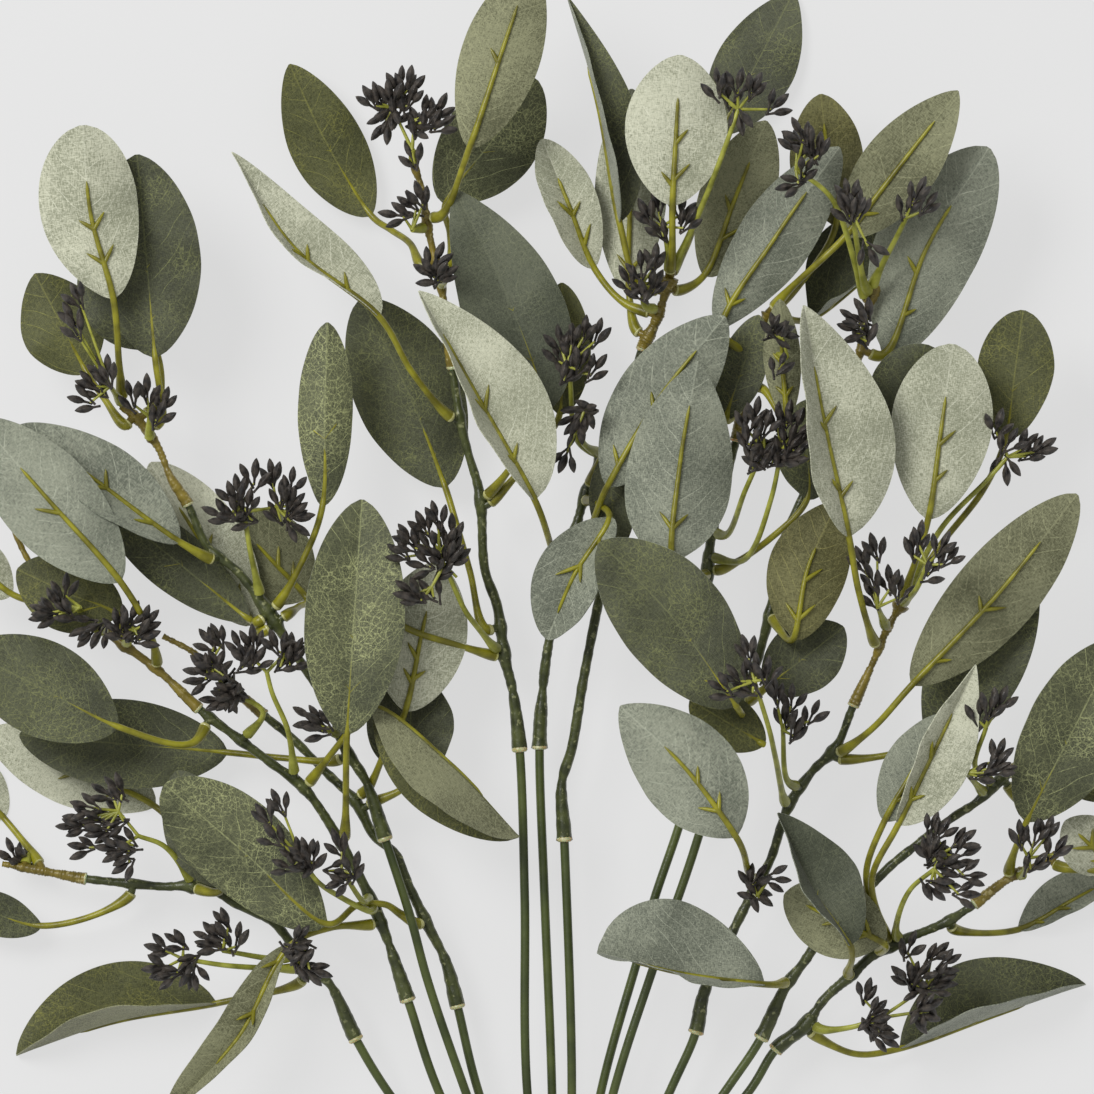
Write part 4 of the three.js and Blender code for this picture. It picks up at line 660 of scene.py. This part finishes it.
# Each row: name, sprig, height, the stalk's way from the stem to the fork, further forks, and the bud
# tips, as x, y, x, y and so on.
HEADS = [
    ("A", "03c", 66, ((-174, 64),), (), [-192, 60, -187, 71, -181, 77, -179, 74, -190, 106, -193, 98,
     -192, 93, -186, 67]),
    ("B", "03c", 52, ((-159, 43), (-159, 52)), (), [-168, 67, -160, 70, -151, 65, -152, 60]),
    ("C", "05d", 48, ((-54, 159),), ((-62, 176), (-53, 171)), [-74, 185, -64, 188, -58, 193, -54, 193,
     -52, 186, -48, 182, -40, 182, -36, 173, -71, 162, -67, 164, -62, 166, -55, 181, -70, 187, -61, 170,
     -51, 175, -44, 168, -57, 163, -42, 176]),
    ("D", "05c", 48, ((-54, 127),), (), [-68, 134, -61, 141, -53, 147]),
    ("E", "05c", 64, ((-40, 106),), (), [-41, 122, -54, 113, -44, 116, -35, 112]),
    ("G", "07b", 72, ((63, 139), (74, 168), (76, 174)), (), [67, 191, 72, 187, 78, 192, 86, 190,
     97, 181, 78, 163]),
    ("G2", "07b", 57, ((48, 120), (46, 128)), (), [36, 140, 42, 144, 55, 143, 60, 136, 40, 132]),
    ("G3", "07a", 57, ((39, 97), (38, 105)), (), [28, 114, 32, 108, 37, 119, 44, 122, 47, 112,
     33, 100]),
    ("H1", "08a", 82, ((72, 5), (79, 23), (86, 39)), (), [78, 51, 80, 43, 79, 57, 84, 60, 89, 55,
     82, 34, 84, 46, 87, 40, 80, 35]),
    ("H2", "08a", 80, ((79, -5), (89, 19), (93, 39)), (), [92, 58, 97, 60, 102, 56, 104, 47, 101, 37,
     97, 31, 104, 41, 95, 47, 97, 40, 99, 50]),
    ("I", "08b", 60, ((96, 76),), ((94, 83),), [98, 91, 101, 84, 89, 94, 96, 79]),
    ("J", "09c", 60, ((124, 84),), (), [116, 95, 122, 100, 115, 89, 127, 92]),
    ("K", "09c", 72, ((128, 99), (113, 139), (99, 150)), (), [93, 166, 97, 171, 100, 168, 104, 165,
     109, 166, 106, 155, 90, 142]),
    ("L", "09c", 76, ((128, 103), (121, 133)), (), [118, 148, 120, 142, 115, 140, 124, 144, 132, 110]),
    ("M", "09c", 66, ((130, 103), (143, 131)), (), [151, 148, 156, 142, 147, 143]),
    ("N", "10c", 56, ((158, 8), (175, 26), (184, 36)), (), [182, 56, 188, 48, 200, 42, 197, 46, 204, 44,
     184, 24]),
    ("P", "10c", 78, ((147, -17), (151, -7)), (), [145, 7, 149, 11, 160, 7, 164, 1, 159, -4]),
    ("Q", "10c", 58, ((136, -32), (132, -24)), (), [127, -6, 126, -12, 136, -6, 142, -10, 123, 1,
     129, 6]),
    ("T1", "11b", 62, ((171, -87), (175, -72)), (), [184, -54, 179, -57, 173, -59]),
    ("T2", "11b", 62, ((167, -90),), (), [183, -75, 185, -80, 186, -85, 181, -88]),
    ("U", "12b", 72, ((140, -154), (145, -136), (154, -128)), ((157, -122),), [156, -104, 161, -106,
     171, -112, 173, -119, 168, -126, 176, -130, 174, -138, 149, -114, 159, -116, 163, -122, 153, -112,
     158, -126, 165, -135, 152, -122, 162, -138]),
    ("V", "12d", 62, ((191, -132), (192, -124)), (), [188, -108, 196, -107, 202, -106, 208, -114,
     200, -121]),
    ("X", "12a", 36, ((110, -194), (122, -193), (134, -189)), ((152, -177), (153, -186)), [148, -153,
     162, -158, 167, -163, 166, -171, 130, -172, 138, -168, 151, -195, 130, -199, 142, -201, 155, -165,
     160, -181, 164, -175, 153, -180, 158, -190, 143, -182, 137, -181, 146, -166, 140, -194,
     133, -186]),
    ("Y", "10a", 60, ((84, -139),), (), [80, -126, 78, -132, 88, -126, 99, -133, 91, -144]),
    ("Z1", "10b", 90, ((96, -103), (91, -84), (88, -72), (82, -53)), (), [77, -34, 82, -40, 88, -42,
     70, -45, 62, -52, 72, -53]),
    ("Z2", "10b", 62, ((96, -93), (94, -73)), (), [90, -50, 98, -53, 109, -60, 103, -66, 95, -61]),
    ("AA", "03b", 54, ((-114, -22), (-119, 0), (-121, 14)), ((-122, 17), (-108, 16)), [-125, 31,
     -128, 28, -116, 36, -111, 36, -101, 33, -100, 26, -97, 22, -92, 13, -94, 4, -138, 16, -133, 18,
     -118, 24, -112, 19, -106, 28, -123, 10, -128, 12]),
    ("BB1", "02b", 54, ((-102, -94), (-104, -73), (-110, -58), (-112, -50)), ((-119, -43), (-105, -43)),
     [-126, -33, -118, -30, -111, -32, -102, -33, -96, -39, -124, -37, -112, -39, -114, -42, -107, -45,
     -100, -42]),
    ("BB2", "02c", 46, ((-114, -66), (-129, -57)), ((-135, -47),), [-140, -32, -135, -30, -142, -42,
     -147, -49, -147, -54, -140, -61, -133, -66, -124, -67, -129, -41, -133, -54, -126, -52, -123, -58,
     -129, -62, -136, -45, -120, -63]),
    ("CC", "03a", 46, ((-84, -75), (-90, -72)), (), [-102, -64, -100, -71, -98, -66]),
    ("DD1", "02d", 48, ((-187, -24),), (), [-192, -9, -198, -21, -208, -23, -208, -29, -201, -15]),
    ("DD2", "02d", 52, ((-165, -33),), (), [-173, -23, -176, -30, -170, -37, -163, -21, -159, -29,
     -154, -24, -153, -33]),
    ("DD3", "02d", 46, ((-179, -35),), (), [-192, -36, -189, -41, -183, -40]),
    ("EE", "01c", 11, ((-210, -124),), (), [-219, -116, -215, -121, -218, -126]),
    ("FF", "01b", 38, ((-142, -136), (-154, -120), (-164, -116)), ((-172, -106), (-169, -119)),
     [-178, -92, -183, -95, -192, -102, -196, -108, -198, -112, -194, -119, -182, -120, -178, -123,
     -176, -132, -184, -106, -180, -113, -187, -116, -175, -116, -189, -110]),
    ("GG1", "01a", 44, ((-100, -170), (-128, -168), (-146, -165)), (), [-154, -154, -163, -159,
     -164, -169, -158, -173, -148, -170, -148, -177, -140, -179]),
    ("GG2", "01a", 40, ((-107, -166), (-130, -162)), (), [-135, -145, -138, -151, -143, -154,
     -142, -158, -123, -150]),
    ("HH", "01a", 50, ((-97, -161),), (), [-103, -168, -94, -150, -85, -172, -90, -173, -107, -162,
     -95, -164, -99, -156]),
    ("II1", "02a", 64, ((-72, -146, 38), (-83, -140), (-92, -133), (-98, -124)), (), [-117, -101,
     -110, -96, -113, -110, -111, -124, -91, -116, -106, -116, -100, -122, -102, -128, -98, -114]),
    ("II2", "02a", 58, ((-74, -142, 42), (-82, -129)), (), [-86, -112, -78, -130, -89, -136,
     -75, -121]),
    ("JJ", "05a", 62, ((-20, -41), (-28, -32), (-33, -25), (-41, -7)), ((-43, -2), (-46, -16),
     (-36, -12)), [-46, 19, -53, 16, -60, 10, -60, 7, -65, 2, -38, 14, -34, 7, -32, 2, -57, -6,
     -61, -13, -60, -18, -51, 6, -46, 0, -40, 3, -37, -6, -43, 11, -52, -12]),
    ("KK1", "06b", 60, ((12, 43), (9, 70)), ((8, 72),), [16, 94, 22, 92, 4, 90, 10, 91, 2, 84, 24, 77,
     12, 85, 17, 80, 13, 74, 6, 79]),
    ("KK2", "06b", 60, ((14, 43), (16, 57)), (), [21, 54, 15, 44, 8, 55, 3, 48, 8, 39, 4, 28]),
]
BUD_LENGTH = 7.4
BUD_RADIUS = 1.5
LONGEST_BUD = 0.85        # share of the way from its fork
BUD_PLACES = np.array([0.0, 0.12, 0.3, 0.5, 0.72, 0.9, 1.0])
BUD_SHAPE = np.array([0.36, 0.68, 0.96, 1.0, 0.8, 0.42, 0.08])
BUD_RIDGES, RIDGE_HEIGHT, BUD_SIDES = 4, 0.07, 8
NECK_PLACE, NECK_RADII = 0.6, [0.5, 0.45]
GROUP_LENGTH = 11.5       # of a bud with its neck
LEAN = 1.0                # how far the buds turn towards the stalk's own direction
BUD_FLOOR = 2.2
FORK_HEIGHTS, TIP_HEIGHTS = (-2, 4), (-3, 6)          # about the head's own height
REACHES, SETBACKS, BUD_SIZES = (0.86, 1.0), (0.4, 1.2), (0.9, 1.1)
SIDE_TURNS = (0.3, 0.65)
BUD_RISES, BUD_BACKS = (0.0, 3.0, -1.5), (0.0, 1.5, 3.0)
TWIG_RADII = [0.75, 0.65, 0.55, 0.5]
FORK_RADII = np.linspace(0.8, 0.6, 6)
STALK_RADII = np.linspace(1.25, 0.85, 40)
STALK_SWELL, STALK_SLEEVE = 0.85, 7.0
SHORT_PEG = 0.3           # share of a short stalk that its peg may take
BUDS, TWIGS = range(2)    # the order of a head's materials
HEAD_SEED = 500


def bud(start, tip, size):
    """A bud and its thin neck along the line from its fork to its point: the neck has an even radius, and
    the body's is read off a spindle's profile, times one plus a cosine that goes four times round."""
    body = min(LONGEST_BUD, BUD_LENGTH * size / np.linalg.norm(tip - start))
    share = np.concatenate([[0, (1 - body) * NECK_PLACE], 1 - body * (1 - BUD_PLACES)])
    radius = np.concatenate([NECK_RADII, BUD_RADIUS * size * BUD_SHAPE])
    turn = np.linspace(0, 2 * math.pi, BUD_SIDES, endpoint=False)
    line = start + (tip - start) * share[:, None]
    ridge = 1 + RIDGE_HEIGHT * np.cos(BUD_RIDGES * turn)
    return rings_about(line, *directions(line)[1:], turn, ridge * radius[:, None])


bud_plastic = plastic("bud plastic", (31, 29, 28), (70, 64, 58), 0.3, 420.0, 1500.0, 0.0003)
twig_plastic = plastic("seed stalk plastic", (112, 114, 30), (158, 160, 64), 0.36, 160.0)

for number, (name, sprig, height, way, forks, tips) in enumerate(HEADS):
    rng = np.random.default_rng(HEAD_SEED + number)
    stem = sprig[:2]
    start = joint_on(stem, way[0])
    heart = np.array([*way[-1], height], float)
    whole = smooth_line([start, *lifted(start, way[:-1], height, way[-1]), heart], 80)
    gone = lengths(whole)
    cut = np.searchsorted(gone, min(PEG_LENGTH * HELD, gone[-1] * SHORT_PEG))
    stalk = evenly(whole[cut:], len(STALK_RADII))
    radius = STALK_RADII + STALK_SWELL * np.exp(-(lengths(stalk) / STALK_SLEEVE) ** 2)
    shells = [shell(round_rings(stalk, radius, 9, SEAM), TWIGS)]
    hearts = [heart] + [np.array([*fork, height + rng.uniform(*FORK_HEIGHTS)], float) for fork in forks]
    for fork in hearts[1:]:
        arm = evenly(np.array([heart, fork]), len(FORK_RADII))
        shells.append(shell(round_rings(arm, FORK_RADII, 7), TWIGS))
    onward = np.array([*(stalk[-1] - stalk[-6])[:2], 0.0])
    onward /= np.linalg.norm(onward)
    for point in np.reshape(tips, (-1, 2)):
        tip = np.array([*point, height + rng.uniform(*TIP_HEIGHTS)], float)
        home = min(hearts, key=lambda h: np.linalg.norm(h[:2] - tip[:2]))
        spread = (tip - home) / np.linalg.norm(tip - home)
        lean = spread + onward * LEAN * (1 + spread @ onward) / 2
        lean /= np.linalg.norm(lean)
        knot = tip - lean * GROUP_LENGTH
        knot[2] = max(knot[2], BUD_FLOOR)
        twig = evenly(np.array([home, knot + lean]), len(TWIG_RADII))
        shells.append(shell(round_rings(twig, TWIG_RADII, 7), TWIGS))
        first_side = rng.choice([-1, 1])
        turns = [0.0, first_side * rng.uniform(*SIDE_TURNS), -first_side * rng.uniform(*SIDE_TURNS)]
        for turn, rise, back in zip(turns, BUD_RISES, BUD_BACKS):
            c, s = math.cos(turn), math.sin(turn)
            reach = np.array([lean[0] * c - lean[1] * s, lean[0] * s + lean[1] * c, lean[2]])
            reach = reach * GROUP_LENGTH * rng.uniform(*REACHES) + UP * rise
            root = knot - lean * back * rng.uniform(*SETBACKS)
            end = root + reach
            end[2] = max(end[2], BUD_FLOOR)
            shells.append(shell(bud(root, end, rng.uniform(*BUD_SIZES)), BUDS))
    piece(f"seeds_{name}", shells, [bud_plastic, twig_plastic], "seed", f"sprig_{sprig}")
    pegs[stem].append(evenly(whole[:max(cut * 2, 4)], 8))

# ---- The branches ----------------------------------------------------------------------------------------
# Each rod is plugged into a dark green moulding with a flared mouth, and most of these carry a thinner
# olive brown tip piece, plugged in the same way. Round each mouth is a pale ring where the moulding was
# trimmed. Short pegs stand out at the joints, and the sleeves of the petioles and stalks go over them.
BRANCH_RADII, BRANCH_SCALE = (1.95, 1.5), 1.0
TIP_RADII, TIP_SCALE = (1.55, 1.0), 0.75
SOCKET_WAY = np.array([0, 4, 12, 20, 24, 28])       # along the socket from its mouth
SOCKET_SWELL = [1.0, 0.85, 0.6, 0.1, -0.35, 0.0]    # added to the branch's own radius there
JOINT_SWELL, JOINT_SPREAD = 0.6, 3.2
LUMPS, LUMP_COUNT = (-0.16, 0.18), 90
MOULD_SEAM = 0.09
RING_RADII = [2.6, 3.1, 3.2, 3.1, 2.8]
TIP_RING_RADII = [2.0, 2.4, 2.5, 2.4, 2.1]
PEG_RADII = np.linspace(1.75, 1.35, 8)
PLUGGED = 12              # places of the stem's line by which a branch runs into its tip piece
BRANCH_SEED = 900

branch_plastic = plastic("branch plastic", (44, 50, 20), (74, 80, 40), 0.36, 200.0, 700.0, 0.0004,
                         (140, 142, 100))
tip_plastic = plastic("tip plastic", (92, 80, 22), (130, 114, 40), 0.38, 150.0, 700.0, 0.0003,
                      (168, 156, 104))
ring_plastic = plastic("ring plastic", (158, 156, 104), (190, 188, 142), 0.3, 300.0,
                       Subsurface_Weight=0.3)


def moulded(line, scale, radii, own_pegs, rng):
    """A moulding and its pegs: the radius falls evenly, swells along the socket, swells at each joint as a
    bell curve, and has small random lumps; two seams run along it."""
    gone = lengths(line)
    radius = np.linspace(*radii, len(line)) + scale * np.interp(gone, SOCKET_WAY * scale, SOCKET_SWELL)
    for peg in own_pegs:
        radius += JOINT_SWELL * np.exp(-(np.linalg.norm(line - peg[0], axis=1) / JOINT_SPREAD) ** 2)
    lumps = rng.uniform(*LUMPS, LUMP_COUNT)
    radius += np.interp(gone, np.linspace(0, gone[-1], LUMP_COUNT), lumps)
    rings = round_rings(line, radius, 12, MOULD_SEAM)
    return [shell(rings), *(shell(round_rings(peg, PEG_RADII, 9)) for peg in own_pegs)]


for number, (stem, (socket, ring, route)) in enumerate(STEMS.items()):
    rng = np.random.default_rng(BRANCH_SEED + number)
    line = stem_lines[stem]
    mouth = nearest(line, route[socket])
    joint = len(line) if ring is None else nearest(line, route[ring])
    on_tip = [ring is not None and nearest(line, peg[0]) > joint for peg in pegs[stem]]
    lower = evenly(line[mouth:min(joint + PLUGGED, len(line))], 130)
    own_pegs = [peg for peg, past in zip(pegs[stem], on_tip) if not past]
    piece(f"branch_{stem}_moulded", moulded(lower, BRANCH_SCALE, BRANCH_RADII, own_pegs, rng),
          [branch_plastic], "branch", f"branch_{stem}")
    trimmed = evenly(line[mouth - 1:mouth + 4], len(RING_RADII))
    piece(f"ring_{stem}", [shell(round_rings(trimmed, RING_RADII, 16))],
          [ring_plastic], "branch", f"branch_{stem}")
    if ring is None:
        continue
    own_pegs = [peg for peg, past in zip(pegs[stem], on_tip) if past]
    piece(f"tip_{stem}_moulded", moulded(evenly(line[joint:], 90), TIP_SCALE, TIP_RADII, own_pegs, rng),
          [tip_plastic], "branch", f"branch_{stem}")
    trimmed = evenly(line[joint - 1:joint + 3], len(TIP_RING_RADII))
    piece(f"tip_ring_{stem}", [shell(round_rings(trimmed, TIP_RING_RADII, 14))],
          [ring_plastic], "branch", f"branch_{stem}")

# ---- The tie ---------------------------------------------------------------------------------------------
# Five turns of two-ply jute twine hold the rods together. They are wound tightly over the straight stretch
# of the rods.
TURNS = 5
TURN_PLACES = 90
TWINE_RADIUS = 1.1
PLY_RADIUS, PLY_OFFSET = 0.6, 0.45       # shares of the twine's radius
TWIST = 1.25                             # radians for each millimetre
CORNER = 3.2                             # power of the rounded box that a turn follows
jute = plastic("jute twine", (128, 100, 62), (182, 154, 106), 0.85, 700.0, 1800.0, 0.0006)

reach = (tie_high - tie_low) / 2 - TWINE_RADIUS
turn = np.linspace(0, 2 * math.pi * TURNS, TURN_PLACES * TURNS)
oval = (np.abs(np.cos(turn)) ** CORNER + np.abs(np.sin(turn)) ** CORNER) ** (-1 / CORNER)
coil = tie_middle - LAYOUT_ORIGIN + np.stack(
    [reach[0] * oval * np.cos(turn), (turn / turn[-1] - 0.5) * 2 * reach[1],
     reach[2] * oval * np.sin(turn)], axis=1)


def ply(phase):
    """One of the twine's two plies: a round section whose centre turns about the coil's own line. The
    coil turns right round, so the section's first direction is square to the coil and to the bunch."""
    tangent, side, over = directions(coil)
    spin = lengths(coil) * TWIST + phase
    offset = side * np.cos(spin)[:, None] + over * np.sin(spin)[:, None]
    line = coil + offset * TWINE_RADIUS * PLY_OFFSET
    tangent = np.gradient(line, axis=0)
    tangent /= np.linalg.norm(tangent, axis=1, keepdims=True)
    out = np.cross(tangent, [0, 1.0, 0])
    out /= np.linalg.norm(out, axis=1, keepdims=True)
    round_turn = np.linspace(0, 2 * math.pi, 8, endpoint=False)
    reach = np.full((len(line), 1), TWINE_RADIUS * PLY_RADIUS)
    return shell(rings_about(line, out, np.cross(out, tangent), round_turn, reach))


piece("tie_twine", [ply(0), ply(math.pi)], [jute], "twine", "tie")

# ---- The table top, light and camera ---------------------------------------------------------------------
# A plain pale floor under the bunch, a wide soft lamp over the upper left, and an even sky. The camera
# looks straight down on the leaves.
FLOOR_REACH = 6
FLOOR_TONE, FLOOR_GLOW = (0.13, 0.13, 0.13, 1), 0.64
WHITE = (1, 1, 1, 1)
SKY_STRENGTH = 0.55
floor_mesh = bpy.data.meshes.new("floor")
corners = [(x * FLOOR_REACH, y * FLOOR_REACH, 0) for x, y in ((-1, -1), (1, -1), (1, 1), (-1, 1))]
floor_mesh.from_pydata(corners, [], [(0, 1, 2, 3)])
floor = bpy.data.objects.new("floor", floor_mesh)
bpy.context.scene.collection.objects.link(floor)
paper = material("pale floor", 0.9, Specular_IOR_Level=0.0, Base_Color=FLOOR_TONE, Emission_Color=WHITE,
                 Emission_Strength=FLOOR_GLOW)
floor_mesh.materials.append(paper[0])

sky = bpy.data.worlds.new("sky")
bpy.context.scene.world = sky
sky.use_nodes = True
sky_light = sky.node_tree.nodes["Background"].inputs
sky_light["Color"].default_value = WHITE
sky_light["Strength"].default_value = SKY_STRENGTH

LAMP_PLACE = (-1.3, 1.2, 2.1)
LAMP_TURN = (-np.arctan2(1.2, 2.1), -np.arctan2(1.3, 2.42), 0)      # towards the bunch
lamp_data = bpy.data.lights.new("soft lamp", "AREA")
lamp_data.shape, lamp_data.size, lamp_data.energy = "DISK", 1.3, 55.0
lamp = bpy.data.objects.new("soft lamp", lamp_data)
bpy.context.scene.collection.objects.link(lamp)
lamp.location = LAMP_PLACE
lamp.rotation_euler = LAMP_TURN

LENS, SENSOR = 300.0, 36.0
HALF_VIEW = 218.8        # half the width that the picture shows, in millimetres
VIEW_HEIGHT = 50.0       # of the level where that width is measured
CLIP_END = 100.0
camera_data = bpy.data.cameras.new("camera")
camera_data.lens, camera_data.sensor_width = LENS, SENSOR
camera = bpy.data.objects.new("camera", camera_data)
bpy.context.scene.collection.objects.link(camera)
distance = HALF_VIEW * LENS / (SENSOR / 2)
camera.location = (LAYOUT_ORIGIN + [0, 0, VIEW_HEIGHT + distance]) / 1000
camera_data.clip_end = CLIP_END
bpy.context.scene.camera = camera
bpy.context.scene.view_settings.view_transform = "Standard"
